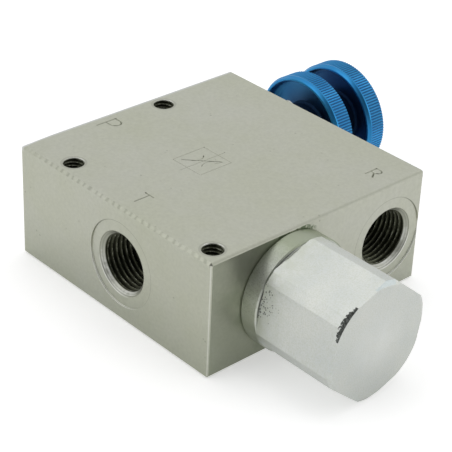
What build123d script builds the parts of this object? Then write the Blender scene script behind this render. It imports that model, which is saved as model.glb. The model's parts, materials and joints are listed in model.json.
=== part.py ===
"""Three-way flow control valve: a drilled steel block with a spring-loaded bypass spool
under a hexagon cap, and a hand-set metering spool behind two knurled wheels.

Millimetres, +Z up. The origin is the centre of the block's underside. +X points out of the
face with the cap and the regulated port, +Y out of the face with the hand wheels.
"""
from build123d import *
import math
import os

# Block
BLOCK_X = 91.5
BLOCK_Y = 90.0
BLOCK_Z = 40.0
EDGE_CHAMFER = 0.8
AXIS_HEIGHT = 20.0
COMPENSATOR_Y = -13.6
THROTTLE_X = -25.1
KNOCKED_CORNER_X = 2.6
KNOCKED_CORNER_Y = 18.0
KNOCKED_CORNER_Z = 0.95

# Ports: half-inch parallel pipe thread, major diameter, with a spot-faced seat
PORT_D = 20.955
PORT_DEPTH = 16.0
PORT_CHAMFER = 0.35
PORT_RUNOUT = 1.2
SEAT_D = 29.0
SEAT_DEPTH = 0.4
TANK_X = 5.0
REGULATED_Y = 30.0
TANK_DRILL_D = 14.0
REGULATED_DRILL_D = 13.0
DRILL_POINT_ANGLE = 118.0
DRILL_WEB_R = 0.4

# Mounting threads in the top face, places from the block's centre
STUD_D = 8.0
STUD_DEPTH = 15.0
STUD_CHAMFER = 0.25
STUD_INSET = 6.0
STUD_A_FROM_CAP_FACE = 71.5
STUD_B_FROM_WHEEL_FACE = 35.6

# Clearances, and how far a cutter starts outside what it cuts
RUN_FIT = 0.05
THREAD_FIT = 0.07
SEAT_GAP = 0.1
MOVING_GAP = 0.3
OVER = 1.0

# Flats that stand for the round section of a rubber ring or of the spring wire
ROUND_SIDES = 8

# Compensator: bore, bypass groove, spool, spring
SPOOL_BORE_D = 18.0
BYPASS_GROOVE_D = 24.0
BYPASS_GROOVE_W = 16.0
SPOOL_REST_X = -12.0
SPOOL_LAND_L = 33.0
SPOOL_POCKET_D = 11.0
SPOOL_POCKET_DEPTH = 9.0
SPOOL_NOTCHES = 4
NOTCH_W = 2.4
NOTCH_L = 4.0
NOTCH_DEPTH = 1.5
NOTCH_TILT = 20.0
SPOOL_EDGE_BREAK = 0.5
SPOOL_PLAIN_END = 1.5
BALANCE_GROOVES = 3
BALANCE_GROOVE_W = 0.6
BALANCE_GROOVE_DEPTH = 0.45
BALANCE_PITCH = 2.5
SPRING_CHAMBER_D = 22.0
SPRING_CHAMBER_X = 24.0
SPRING_WIRE = 2.2
SPRING_OD = 16.0
SPRING_TURNS = 6.5
SPRING_PILOT_L = 6.0
SPRING_PILOT_LEAD = 1.0
SPRING_SEAT_THICK = 3.0
SHIM_THICK = 1.0
SHIM_HOLE_D = 8.0
STOP_RING_THICK = 1.0
STOP_RING_DEPTH = 0.5
STOP_RING_BAND = 1.6
STOP_RING_GAP_ANGLE = 40.0

# Compensator cap
CAP_THREAD_D = 30.0
CAP_THREAD_L = 16.0
CAP_THREAD_LEAD = 1.0
CAP_EDGE_BREAK = 0.4
CAP_COLLAR_D = 38.0
CAP_COLLAR_L = 6.5
CAP_GROOVE_W = 0.5
CAP_GROOVE_DEPTH = 0.6
CAP_HEX_AF = 36.0
CAP_TURNED_D = 39.6
CAP_LENGTH = 37.5
CAP_END_D = 36.7
CAP_END_CHAMFER = 0.8
CAP_HEX_ANGLE = 139.6
CAP_CAVITY_D = 20.0
CAP_END_WALL = 9.5
CAP_SEAL_BORE_D = 33.2
CAP_SEAL_DEPTH = 2.7
CAP_SEAL_SECTION = 2.5
CAP_RELIEF_D = 27.2

# Throttle bore, sleeve and metering spool; depths are from the wheel face
SLEEVE_OD = 18.0
SLEEVE_ID = 12.0
SLEEVE_TOP = 7.7
SLEEVE_BOTTOM = 45.0
SEAT_BORE_D = 9.0
SEAT_BORE_L = 4.0
WINDOW_W = 9.0
WINDOW_L = 14.0
WINDOW_DEPTH = 16.0
FEED_DRILL_D = 12.0
SLEEVE_SEAL_DEPTH = 38.2
SLEEVE_SEAL_W = 2.4
SLEEVE_SEAL_SECTION = 1.86
GUIDE_PIN_D = 1.5
GUIDE_PIN_DEPTH = 32.8
GUIDE_PIN_REACH = 4.6
SPOOL_HEAD_D = 10.0
SPOOL_HEAD_TOP = 14.3
SPOOL_HEAD_BOTTOM = 20.5
SPOOL_HEAD_TAPER = 2.0
METER_STEM_D = 6.0
WING_TOP = 27.5
WING_BOTTOM = 34.4
FLUTES = 3
FLUTE_R = 2.6
NEEDLE_D = 8.8
NEEDLE_SHOULDER = 38.5
NEEDLE_TIP = 44.0
NEEDLE_TIP_D = 4.0
NEEDLE_NOTCHES = 2
NEEDLE_NOTCH_SIDE = 3.0
NEEDLE_NOTCH_L = 14.0
NEEDLE_NOTCH_TILT = 30.0
NEEDLE_NOTCH_START = 30.0

# Throttle bonnet and its seals; distances out of the wheel face
BONNET_THREAD_D = 20.0
BONNET_THREAD_L = 7.5
BONNET_THREAD_LEAD = 0.6
BONNET_AF = 24.0
BONNET_HEX_TURNED_D = 27.2
BONNET_HEX_L = 9.6
BONNET_HEX_CHAMFER = 0.8
BONNET_FACE_D = 23.6
BONNET_FACE_L = 0.5
BONNET_NECK_WALL = 1.5
BONNET_NECK_CHAMFER = 0.5
BONNET_NECK_END = 14.3
BONNET_SEAL_BORE_D = 22.6
BONNET_SEAL_DEPTH = 2.6
BONNET_SEAL_SECTION = 2.1
BONNET_RELIEF_D = 17.8
NUT_BORE_BOTTOM = 0.3
GLAND_TOP = -2.0
GLAND_W = 3.6
GLAND_D = 12.4
SPINDLE_SEAL_SECTION = 2.0
BACKUP_W = 1.3

# Spindle
SPINDLE_THREAD_D = 12.0
SPINDLE_SHAFT_D = 8.0
SPINDLE_SHOULDER = 7.0
SPINDLE_KNOB_SEAT = 31.0
SPINDLE_END = 37.6
SPINDLE_END_D = 10.0
SPINDLE_NECK_D = 4.0
SPINDLE_NECK_TOP = -14.0
BUTTON_D = 6.4
BUTTON_TOP = -16.2
BUTTON_BOTTOM = -18.6
CLIP_TOP = -10.2
CLIP_THICK = 1.0
CLIP_GROOVE_D = 7.2
CLIP_GAP_ANGLE = 70.0
SPINDLE_CHAMFER = 0.6

# Knurled wheels
WHEEL_D = 39.5
WHEEL_W = 8.0
LOCK_WHEEL_NEAR = 14.6
KNOB_NEAR = 30.2
WHEEL_LIP_D = 38.2
WHEEL_BAND_W = 1.7
WHEEL_BAND_BEVEL = 0.6
WHEEL_FAR_CHAMFER = 0.35
WHEEL_RECESS_D = 36.4
WHEEL_RECESS_DEPTH = 4.4
WHEEL_RECESS_R = 2.2
WHEEL_HUB_D = 18.0
SET_SCREW_D = 4.0
SET_SCREW_L = 5.0
SET_SCREW_KEY_AF = 2.0
SET_SCREW_KEY_L = 2.0
SET_SCREW_SUNK = 1.2
SET_SCREW_ANGLE = 235.0

# Sensing line from the regulated drilling to the spring chamber
SENSE_X = 26.5
SENSE_PLUG_D = 6.0
SENSE_PLUG_L = 5.8
SENSE_PLUG_SUNK = 0.3
SENSE_PLUG_BORE_L = 7.5
SENSE_PLUG_KEY_AF = 3.0
SENSE_PLUG_KEY_L = 3.0
SENSE_PLUG_CHAMFER = 0.4
JET_D = 5.0
JET_L = 5.5
JET_BOTTOM_Y = 14.0
JET_HOLE_D = 0.8
JET_SLOT_W = 0.9
JET_SLOT_DEPTH = 1.0
SENSE_DRILL_D = 3.0

# Frames whose local Z is the axis that a turned piece is described along
COMPENSATOR_AXIS = Plane(
    origin=(0, COMPENSATOR_Y, AXIS_HEIGHT), x_dir=(0, 1, 0), z_dir=(1, 0, 0)
)
CAP_FACE = COMPENSATOR_AXIS.offset(BLOCK_X / 2)
INLET_FACE = Plane(
    origin=(-BLOCK_X / 2, COMPENSATOR_Y, AXIS_HEIGHT), x_dir=(0, -1, 0), z_dir=(-1, 0, 0)
)
TANK_FACE = Plane(
    origin=(TANK_X, -BLOCK_Y / 2, AXIS_HEIGHT), x_dir=(1, 0, 0), z_dir=(0, -1, 0)
)
REGULATED_FACE = Plane(
    origin=(BLOCK_X / 2, REGULATED_Y, AXIS_HEIGHT), x_dir=(0, 1, 0), z_dir=(1, 0, 0)
)
WHEEL_FACE = Plane(
    origin=(THROTTLE_X, BLOCK_Y / 2, AXIS_HEIGHT), x_dir=(0, 0, 1), z_dir=(0, 1, 0)
)
SENSE_FACE = Plane(origin=(SENSE_X, BLOCK_Y / 2, AXIS_HEIGHT), x_dir=(0, 0, 1), z_dir=(0, 1, 0))

CAP_CAVITY_END = CAP_LENGTH - CAP_END_WALL
SPOOL_SHOULDER_X = SPOOL_REST_X + SPOOL_LAND_L
SPRING_SEAT_X = BLOCK_X / 2 + CAP_CAVITY_END - SHIM_THICK - SPRING_SEAT_THICK
SPRING_PILOT_D = SPRING_OD - 2 * SPRING_WIRE - 2 * MOVING_GAP
BONNET_NECK_D = SPINDLE_THREAD_D + 2 * BONNET_NECK_WALL
CLIP_OD = SLEEVE_ID - 2 * MOVING_GAP


def turned(profile):
    """Revolve a closed outline of (distance along the axis, radius) about local Z."""
    outline = Polyline(*[(radius, 0, along) for along, radius in profile], close=True)
    return revolve(make_face(outline), Axis.Z)


def rod(radius, start, end):
    """Plain round bar on local Z between two heights."""
    return Pos(0, 0, min(start, end)) * Cylinder(
        radius, abs(end - start), align=(Align.CENTER, Align.CENTER, Align.MIN)
    )


def tube(outer, inner, start, end):
    """Round bar with a through hole."""
    return rod(outer, start, end) - rod(inner, min(start, end) - OVER, max(start, end) + OVER)


def hex_bar(across_flats, start, end, angle=0.0):
    """Hexagonal bar on local Z with one corner at the given angle from local X."""
    corner = across_flats / math.sqrt(3)
    outline = RegularPolygon(corner, 6, rotation=angle)
    return Pos(0, 0, min(start, end)) * extrude(outline, abs(end - start))


def drill_point(radius):
    """Length of a drill's cone, down to the flat that its web leaves."""
    return (radius - DRILL_WEB_R) / math.tan(math.radians(DRILL_POINT_ANGLE / 2))


def drill(diameter, depth):
    """Drilled hole going down local -Z from the face, with its pointed end."""
    radius = diameter / 2
    end = -depth - drill_point(radius)
    return turned([(OVER, 0), (OVER, radius), (-depth, radius), (end, DRILL_WEB_R), (end, 0)])


def o_ring(centre_radius, section, height):
    """Rubber ring lying across local Z, its round section drawn with flats."""
    outline = RegularPolygon(
        section / 2, ROUND_SIDES, major_radius=False, rotation=180 / ROUND_SIDES
    )
    return revolve(Pos(centre_radius, 0, height) * Rot(90, 0, 0) * outline, Axis.Z)


def open_ring(outer, inner, start, end, gap_angle):
    """Flat retaining ring with a gap, centred on local X."""
    ring = tube(outer, inner, start, end)
    half = math.radians(gap_angle / 2)
    reach = 2 * outer
    wedge = Polyline(
        (0, 0),
        (reach, -reach * math.tan(half)),
        (reach, reach * math.tan(half)),
        close=True,
    )
    return ring - Pos(0, 0, start - OVER) * extrude(make_face(wedge), end - start + 2 * OVER)


def port_cutter():
    """Spot-faced seat, lead-in and threaded length of one pipe port."""
    bore = PORT_D / 2
    seat = SEAT_D / 2
    return turned(
        [
            (OVER, 0),
            (OVER, seat),
            (-SEAT_DEPTH, seat),
            (-SEAT_DEPTH, bore + PORT_CHAMFER),
            (-SEAT_DEPTH - PORT_CHAMFER, bore),
            (-PORT_DEPTH, bore),
            (-PORT_DEPTH - PORT_RUNOUT, bore - PORT_RUNOUT),
            (-PORT_DEPTH - PORT_RUNOUT, 0),
        ]
    )


def stud_places():
    """Centres of the three mounting threads in the top face."""
    left = -BLOCK_X / 2 + STUD_INSET
    right = BLOCK_X / 2 - STUD_INSET
    front = -BLOCK_Y / 2 + STUD_INSET
    return [
        (right, front),
        (BLOCK_X / 2 - STUD_A_FROM_CAP_FACE, front),
        (left, BLOCK_Y / 2 - STUD_B_FROM_WHEEL_FACE),
    ]


def stud_cutter():
    """Blind tapped hole with a small countersink and a drill point."""
    radius = STUD_D / 2
    mouth = radius + STUD_CHAMFER
    end = -STUD_DEPTH - drill_point(radius)
    return turned(
        [
            (OVER, 0),
            (OVER, mouth),
            (0, mouth),
            (-STUD_CHAMFER, radius),
            (-STUD_DEPTH, radius),
            (end, DRILL_WEB_R),
            (end, 0),
        ]
    )


def block_blank():
    """Sawn and milled bar with broken edges and one knocked corner beside the inlet."""
    blank = Box(BLOCK_X, BLOCK_Y, BLOCK_Z, align=(Align.CENTER, Align.CENTER, Align.MIN))
    blank = chamfer(blank.edges(), EDGE_CHAMFER)
    corner = Vector(-BLOCK_X / 2, -BLOCK_Y / 2, BLOCK_Z)
    outward = Vector(-1 / KNOCKED_CORNER_X, -1 / KNOCKED_CORNER_Y, 1 / KNOCKED_CORNER_Z)
    knock = Plane(origin=corner + Vector(KNOCKED_CORNER_X, 0, 0), z_dir=outward)
    return split(blank, bisect_by=knock, keep=Keep.BOTTOM)


def compensator_bore():
    """Everything bored on the compensator's axis, described along global X."""
    face = BLOCK_X / 2
    thread_end = face - CAP_THREAD_L
    inlet_end = -face + PORT_DEPTH
    seal = CAP_SEAL_BORE_D / 2
    bore = turned(
        [
            (inlet_end - OVER, 0),
            (inlet_end - OVER, SPOOL_BORE_D / 2),
            (SPRING_CHAMBER_X, SPOOL_BORE_D / 2),
            (SPRING_CHAMBER_X, SPRING_CHAMBER_D / 2),
            (thread_end, SPRING_CHAMBER_D / 2),
            (thread_end, CAP_THREAD_D / 2),
            (face - CAP_SEAL_DEPTH, CAP_THREAD_D / 2),
            (face - CAP_SEAL_DEPTH, seal),
            (face + OVER, seal),
            (face + OVER, 0),
        ]
    )
    groove_start = TANK_X - BYPASS_GROOVE_W / 2
    bore += rod(BYPASS_GROOVE_D / 2, groove_start, groove_start + BYPASS_GROOVE_W)
    ring_end = SPOOL_REST_X - SEAT_GAP
    ring_start = ring_end - STOP_RING_THICK - SEAT_GAP
    bore += rod(SPOOL_BORE_D / 2 + STOP_RING_DEPTH, ring_start, ring_end)
    return COMPENSATOR_AXIS * bore


def throttle_bore():
    """Bonnet thread, sleeve bore and the feed drilling down to the inlet bore."""
    reach = BLOCK_Y / 2 - COMPENSATOR_Y
    sleeve_start = -BONNET_THREAD_L - SEAT_GAP
    bore = turned(
        [
            (OVER, 0),
            (OVER, BONNET_SEAL_BORE_D / 2),
            (-BONNET_SEAL_DEPTH, BONNET_SEAL_BORE_D / 2),
            (-BONNET_SEAL_DEPTH, BONNET_THREAD_D / 2),
            (sleeve_start, BONNET_THREAD_D / 2),
            (sleeve_start, SLEEVE_OD / 2),
            (-SLEEVE_BOTTOM, SLEEVE_OD / 2),
            (-SLEEVE_BOTTOM, FEED_DRILL_D / 2),
            (-reach, FEED_DRILL_D / 2),
            (-reach, 0),
        ]
    )
    return WHEEL_FACE * bore


def sense_bore():
    """Plug thread, jet thread and pilot drilling into the spring chamber."""
    jet_depth = BLOCK_Y / 2 - JET_BOTTOM_Y
    chamber_depth = BLOCK_Y / 2 - (COMPENSATOR_Y + SPRING_CHAMBER_D / 2 - OVER)
    bore = rod(SENSE_PLUG_D / 2, OVER, -SENSE_PLUG_BORE_L)
    bore += rod(JET_D / 2, 0, -jet_depth)
    bore += rod(SENSE_DRILL_D / 2, 0, -chamber_depth)
    return SENSE_FACE * bore


def valve_body():
    """The drilled and tapped block."""
    block = block_blank()
    for face in (INLET_FACE, TANK_FACE, REGULATED_FACE):
        block -= face * port_cutter()
    tank_reach = BLOCK_Y / 2 + COMPENSATOR_Y
    block -= TANK_FACE * rod(TANK_DRILL_D / 2, -PORT_DEPTH, -tank_reach)
    regulated_reach = BLOCK_X / 2 - THROTTLE_X
    block -= REGULATED_FACE * drill(REGULATED_DRILL_D, regulated_reach)
    block -= compensator_bore()
    block -= throttle_bore()
    block -= sense_bore()
    for x, y in stud_places():
        block -= Pos(x, y, BLOCK_Z) * stud_cutter()
    return block


def compensator_cap():
    """Hexagon cap with a turned collar, screwed into the block; hollow for the spring."""
    thread = CAP_THREAD_D / 2 - THREAD_FIT
    turned_r = CAP_TURNED_D / 2
    collar = CAP_COLLAR_D / 2
    base = turned(
        [
            (-CAP_THREAD_L + SEAT_GAP, 0),
            (-CAP_THREAD_L + SEAT_GAP, thread - CAP_THREAD_LEAD),
            (-CAP_THREAD_L + SEAT_GAP + CAP_THREAD_LEAD, thread),
            (-CAP_SEAL_DEPTH, thread),
            (-CAP_SEAL_DEPTH, CAP_RELIEF_D / 2),
            (0, CAP_RELIEF_D / 2),
            (0, collar - CAP_EDGE_BREAK),
            (CAP_EDGE_BREAK, collar),
            (CAP_COLLAR_L - CAP_EDGE_BREAK, collar),
            (CAP_COLLAR_L, collar - CAP_EDGE_BREAK),
            (CAP_COLLAR_L, collar - CAP_GROOVE_DEPTH),
            (CAP_COLLAR_L + CAP_GROOVE_W, collar - CAP_GROOVE_DEPTH),
            (CAP_COLLAR_L + CAP_GROOVE_W, 0),
        ]
    )
    head = turned(
        [
            (CAP_COLLAR_L + CAP_GROOVE_W, 0),
            (CAP_COLLAR_L + CAP_GROOVE_W, turned_r - CAP_EDGE_BREAK),
            (CAP_COLLAR_L + CAP_GROOVE_W + CAP_EDGE_BREAK, turned_r),
            (CAP_LENGTH - CAP_END_CHAMFER, turned_r),
            (CAP_LENGTH, CAP_END_D / 2),
            (CAP_LENGTH, 0),
        ]
    )
    head &= hex_bar(CAP_HEX_AF, CAP_COLLAR_L, CAP_LENGTH + OVER, CAP_HEX_ANGLE)
    cap = base + head - rod(CAP_CAVITY_D / 2, -CAP_THREAD_L, CAP_CAVITY_END)
    return CAP_FACE * cap


def cap_o_ring():
    """Ring between the cap's collar and the block."""
    centre = (CAP_SEAL_BORE_D + CAP_RELIEF_D) / 4
    return CAP_FACE * o_ring(centre, CAP_SEAL_SECTION, -CAP_SEAL_DEPTH / 2)


def compensator_spool():
    """Bypass spool: one land with a notched metering edge, balance grooves and a spring pilot."""
    land = SPOOL_BORE_D / 2 - RUN_FIT
    pilot_end = SPOOL_SHOULDER_X + SPRING_PILOT_L
    spool = turned(
        [
            (SPOOL_REST_X, 0),
            (SPOOL_REST_X, land),
            (SPOOL_SHOULDER_X - SPOOL_EDGE_BREAK, land),
            (SPOOL_SHOULDER_X, land - SPOOL_EDGE_BREAK),
            (SPOOL_SHOULDER_X, SPRING_PILOT_D / 2),
            (pilot_end - SPRING_PILOT_LEAD, SPRING_PILOT_D / 2),
            (pilot_end, SPRING_PILOT_D / 2 - SPRING_PILOT_LEAD),
            (pilot_end, 0),
        ]
    )
    spool -= rod(SPOOL_POCKET_D / 2, SPOOL_REST_X - OVER, SPOOL_REST_X + SPOOL_POCKET_DEPTH)
    for index in range(BALANCE_GROOVES):
        start = SPOOL_SHOULDER_X - SPOOL_PLAIN_END - BALANCE_GROOVE_W - index * BALANCE_PITCH
        spool -= tube(land + OVER, land - BALANCE_GROOVE_DEPTH, start, start + BALANCE_GROOVE_W)
    notch = Rot(0, -NOTCH_TILT, 0) * Box(2 * NOTCH_DEPTH, NOTCH_W, 2 * NOTCH_L)
    notch = Pos(land, 0, SPOOL_REST_X) * notch
    for index in range(SPOOL_NOTCHES):
        spool -= Rot(0, 0, index * 360 / SPOOL_NOTCHES) * notch
    return COMPENSATOR_AXIS * spool


def compensator_spring():
    """Compression spring with ground ends, its round wire drawn with flats."""
    start = SPOOL_SHOULDER_X + SEAT_GAP / 2
    end = SPRING_SEAT_X - SEAT_GAP / 2
    mean = (SPRING_OD - SPRING_WIRE) / 2
    length = end - start
    pitch = length / SPRING_TURNS
    helix = Helix(pitch, length, mean)
    wire = RegularPolygon(SPRING_WIRE / 2, ROUND_SIDES)
    section = Plane(origin=helix @ 0, z_dir=helix % 0) * wire
    coil = sweep(section, path=helix)
    coil = Pos(0, 0, start) * coil
    return COMPENSATOR_AXIS * (coil & rod(SPRING_OD, start, end))


def spring_seat():
    """Mushroom that centres the spring in the cap."""
    disc = rod(CAP_CAVITY_D / 2 - MOVING_GAP, SPRING_SEAT_X, SPRING_SEAT_X + SPRING_SEAT_THICK)
    pilot_end = SPRING_SEAT_X - SPRING_PILOT_L
    pilot = turned(
        [
            (pilot_end, 0),
            (pilot_end, SPRING_PILOT_D / 2 - SPRING_PILOT_LEAD),
            (pilot_end + SPRING_PILOT_LEAD, SPRING_PILOT_D / 2),
            (SPRING_SEAT_X, SPRING_PILOT_D / 2),
            (SPRING_SEAT_X, 0),
        ]
    )
    return COMPENSATOR_AXIS * (disc + pilot)


def spring_shim():
    """Washer that sets the spring load."""
    start = SPRING_SEAT_X + SPRING_SEAT_THICK
    washer = tube(CAP_CAVITY_D / 2 - MOVING_GAP, SHIM_HOLE_D / 2, start, start + SHIM_THICK)
    return COMPENSATOR_AXIS * washer


def spool_stop_ring():
    """Internal retaining ring that stops the bypass spool towards the inlet."""
    outer = SPOOL_BORE_D / 2 + STOP_RING_DEPTH - SEAT_GAP / 2
    end = SPOOL_REST_X - SEAT_GAP * 1.5
    ring = open_ring(
        outer, outer - STOP_RING_BAND, end - STOP_RING_THICK, end, STOP_RING_GAP_ANGLE
    )
    return COMPENSATOR_AXIS * ring


def throttle_bonnet():
    """Hexagon bonnet that guides, threads and seals the spindle."""
    thread = BONNET_THREAD_D / 2 - THREAD_FIT
    spigot = turned(
        [
            (-BONNET_THREAD_L, 0),
            (-BONNET_THREAD_L, thread - BONNET_THREAD_LEAD),
            (-BONNET_THREAD_L + BONNET_THREAD_LEAD, thread),
            (-BONNET_SEAL_DEPTH, thread),
            (-BONNET_SEAL_DEPTH, BONNET_RELIEF_D / 2),
            (0, BONNET_RELIEF_D / 2),
            (0, BONNET_FACE_D / 2),
            (BONNET_FACE_L, BONNET_FACE_D / 2),
            (BONNET_FACE_L, 0),
        ]
    )
    corner = BONNET_HEX_TURNED_D / 2
    head = turned(
        [
            (BONNET_FACE_L, 0),
            (BONNET_FACE_L, corner - BONNET_HEX_CHAMFER),
            (BONNET_FACE_L + BONNET_HEX_CHAMFER / 2, corner),
            (BONNET_HEX_L - BONNET_HEX_CHAMFER / 2, corner),
            (BONNET_HEX_L, corner - BONNET_HEX_CHAMFER),
            (BONNET_HEX_L, 0),
        ]
    )
    head &= hex_bar(BONNET_AF, 0, BONNET_HEX_L + OVER)
    neck = BONNET_NECK_D / 2
    barrel = turned(
        [
            (BONNET_HEX_L, 0),
            (BONNET_HEX_L, neck),
            (BONNET_NECK_END - BONNET_NECK_CHAMFER, neck),
            (BONNET_NECK_END, neck - BONNET_NECK_CHAMFER),
            (BONNET_NECK_END, 0),
        ]
    )
    bonnet = spigot + head + barrel
    bonnet -= rod(SPINDLE_THREAD_D / 2 + THREAD_FIT, NUT_BORE_BOTTOM, BONNET_NECK_END + OVER)
    bonnet -= rod(SPINDLE_SHAFT_D / 2 + RUN_FIT, -BONNET_THREAD_L - OVER, NUT_BORE_BOTTOM)
    bonnet -= rod(GLAND_D / 2, GLAND_TOP, GLAND_TOP - GLAND_W)
    return WHEEL_FACE * bonnet


def bonnet_o_ring():
    """Ring under the bonnet's hexagon."""
    centre = (BONNET_SEAL_BORE_D + BONNET_RELIEF_D) / 4
    return WHEEL_FACE * o_ring(centre, BONNET_SEAL_SECTION, -BONNET_SEAL_DEPTH / 2)


def spindle_o_ring():
    """Rod seal in the bonnet's gland, on the pressure side."""
    centre = SPINDLE_SHAFT_D / 2 + RUN_FIT + SPINDLE_SEAL_SECTION / 2
    height = GLAND_TOP - BACKUP_W - (GLAND_W - BACKUP_W) / 2
    return WHEEL_FACE * o_ring(centre, SPINDLE_SEAL_SECTION, height)


def spindle_backup_ring():
    """Plastic ring that backs the rod seal."""
    inner = SPINDLE_SHAFT_D / 2 + RUN_FIT
    outer = GLAND_D / 2 - RUN_FIT
    top = GLAND_TOP - SEAT_GAP
    return WHEEL_FACE * tube(outer, inner, top - BACKUP_W + SEAT_GAP, top)


def metering_sleeve():
    """Ported sleeve with the metering seat at its inner end."""
    sleeve = rod(SLEEVE_OD / 2 - RUN_FIT, -SLEEVE_TOP, -SLEEVE_BOTTOM)
    chamber_end = -SLEEVE_BOTTOM + SEAT_BORE_L
    sleeve -= rod(SLEEVE_ID / 2, -SLEEVE_TOP + OVER, chamber_end)
    sleeve -= rod(SEAT_BORE_D / 2, chamber_end, -SLEEVE_BOTTOM - OVER)
    window = SlotOverall(WINDOW_L, WINDOW_W)
    cutter = Pos(0, SLEEVE_OD, -WINDOW_DEPTH) * Rot(90, 0, 0) * Rot(0, 0, 90)
    cutter = cutter * extrude(window, 2 * SLEEVE_OD)
    for angle in (0, 90):
        sleeve -= Rot(0, 0, angle) * cutter
    groove_r = SLEEVE_OD / 2 - SLEEVE_SEAL_SECTION - RUN_FIT
    half = SLEEVE_SEAL_W / 2
    centre = -SLEEVE_SEAL_DEPTH
    sleeve -= tube(SLEEVE_OD / 2 + OVER, groove_r, centre - half, centre + half)
    hole = Pos(0, 0, -GUIDE_PIN_DEPTH) * Rot(0, 90, 0) * rod(GUIDE_PIN_D / 2, 0, SLEEVE_OD)
    return WHEEL_FACE * (sleeve - hole)


def sleeve_o_ring():
    """Ring between the inlet side and the regulated side of the sleeve."""
    centre = SLEEVE_OD / 2 - SLEEVE_SEAL_SECTION / 2 - RUN_FIT / 2
    ring = o_ring(centre - RUN_FIT / 2, SLEEVE_SEAL_SECTION - RUN_FIT, -SLEEVE_SEAL_DEPTH)
    return WHEEL_FACE * ring


def guide_pin():
    """Dowel in the sleeve that keeps the metering spool from turning."""
    pin = rod(GUIDE_PIN_D / 2 - RUN_FIT / 2, GUIDE_PIN_REACH, SLEEVE_OD / 2 - MOVING_GAP)
    return WHEEL_FACE * (Pos(0, 0, -GUIDE_PIN_DEPTH) * Rot(0, 90, 0) * pin)


def metering_spool():
    """Fluted, notched needle with a T-slot head that the spindle's button hooks into."""
    spool = turned(
        [
            (-SPOOL_HEAD_TOP, 0),
            (-SPOOL_HEAD_TOP, SPOOL_HEAD_D / 2),
            (-SPOOL_HEAD_BOTTOM, SPOOL_HEAD_D / 2),
            (-SPOOL_HEAD_BOTTOM - SPOOL_HEAD_TAPER, METER_STEM_D / 2),
            (-WING_TOP, METER_STEM_D / 2),
            (-WING_TOP, SLEEVE_ID / 2 - RUN_FIT),
            (-WING_BOTTOM, SLEEVE_ID / 2 - RUN_FIT),
            (-WING_BOTTOM, NEEDLE_D / 2),
            (-NEEDLE_SHOULDER, NEEDLE_D / 2),
            (-NEEDLE_TIP, NEEDLE_TIP_D / 2),
            (-NEEDLE_TIP, 0),
        ]
    )
    flute = Pos(SLEEVE_ID / 2, 0, 0) * rod(FLUTE_R, -WING_TOP + OVER, -WING_BOTTOM)
    for index in range(FLUTES):
        spool -= Rot(0, 0, index * 360 / FLUTES) * flute
    neck_w = SPINDLE_NECK_D + 2 * SEAT_GAP + RUN_FIT
    button_w = BUTTON_D + 2 * SEAT_GAP + RUN_FIT
    slot_reach = SPOOL_HEAD_D
    spool -= t_slot(neck_w, slot_reach, -SPOOL_HEAD_TOP + OVER, BUTTON_TOP)
    spool -= t_slot(button_w, slot_reach, BUTTON_TOP + SEAT_GAP, BUTTON_BOTTOM - SEAT_GAP)
    notch = Rot(0, 0, 45) * Box(NEEDLE_NOTCH_SIDE, NEEDLE_NOTCH_SIDE, NEEDLE_NOTCH_L)
    notch = Pos(NEEDLE_D / 2, 0, -NEEDLE_TIP) * Rot(0, -NEEDLE_NOTCH_TILT, 0) * notch
    for index in range(NEEDLE_NOTCHES):
        spool -= Rot(0, 0, NEEDLE_NOTCH_START + index * 360 / NEEDLE_NOTCHES) * notch
    return WHEEL_FACE * spool


def t_slot(width, reach, top, bottom):
    """Round-ended slot open towards local -X, between two heights."""
    pocket = rod(width / 2, bottom, top)
    way = Pos(-reach / 2, 0, bottom) * Box(
        reach, width, top - bottom, align=(Align.CENTER, Align.CENTER, Align.MIN)
    )
    return pocket + way


def throttle_spindle():
    """Screw spindle: wheel seat, thread, sealed shaft, clip groove and button."""
    thread = SPINDLE_THREAD_D / 2
    shaft = SPINDLE_SHAFT_D / 2
    end = SPINDLE_END_D / 2 - RUN_FIT
    bevel = SPINDLE_CHAMFER
    spindle = turned(
        [
            (BUTTON_BOTTOM, 0),
            (BUTTON_BOTTOM, BUTTON_D / 2),
            (BUTTON_TOP, BUTTON_D / 2),
            (BUTTON_TOP, SPINDLE_NECK_D / 2),
            (SPINDLE_NECK_TOP, SPINDLE_NECK_D / 2),
            (SPINDLE_NECK_TOP, shaft),
            (SPINDLE_SHOULDER, shaft),
            (SPINDLE_SHOULDER, thread - bevel),
            (SPINDLE_SHOULDER + bevel, thread),
            (SPINDLE_KNOB_SEAT - bevel, thread),
            (SPINDLE_KNOB_SEAT, thread - bevel),
            (SPINDLE_KNOB_SEAT, end),
            (SPINDLE_END - bevel, end),
            (SPINDLE_END, end - bevel),
            (SPINDLE_END, 0),
        ]
    )
    groove_end = CLIP_TOP - CLIP_THICK - SEAT_GAP
    spindle -= tube(shaft + OVER, CLIP_GROOVE_D / 2, groove_end, CLIP_TOP + SEAT_GAP / 2)
    return WHEEL_FACE * spindle


def spindle_stop_ring():
    """Snap ring that stops the spindle from being wound out of the bonnet."""
    inner = CLIP_GROOVE_D / 2 + SEAT_GAP / 2
    ring = open_ring(CLIP_OD / 2, inner, CLIP_TOP - CLIP_THICK, CLIP_TOP, CLIP_GAP_ANGLE)
    return WHEEL_FACE * ring


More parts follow.
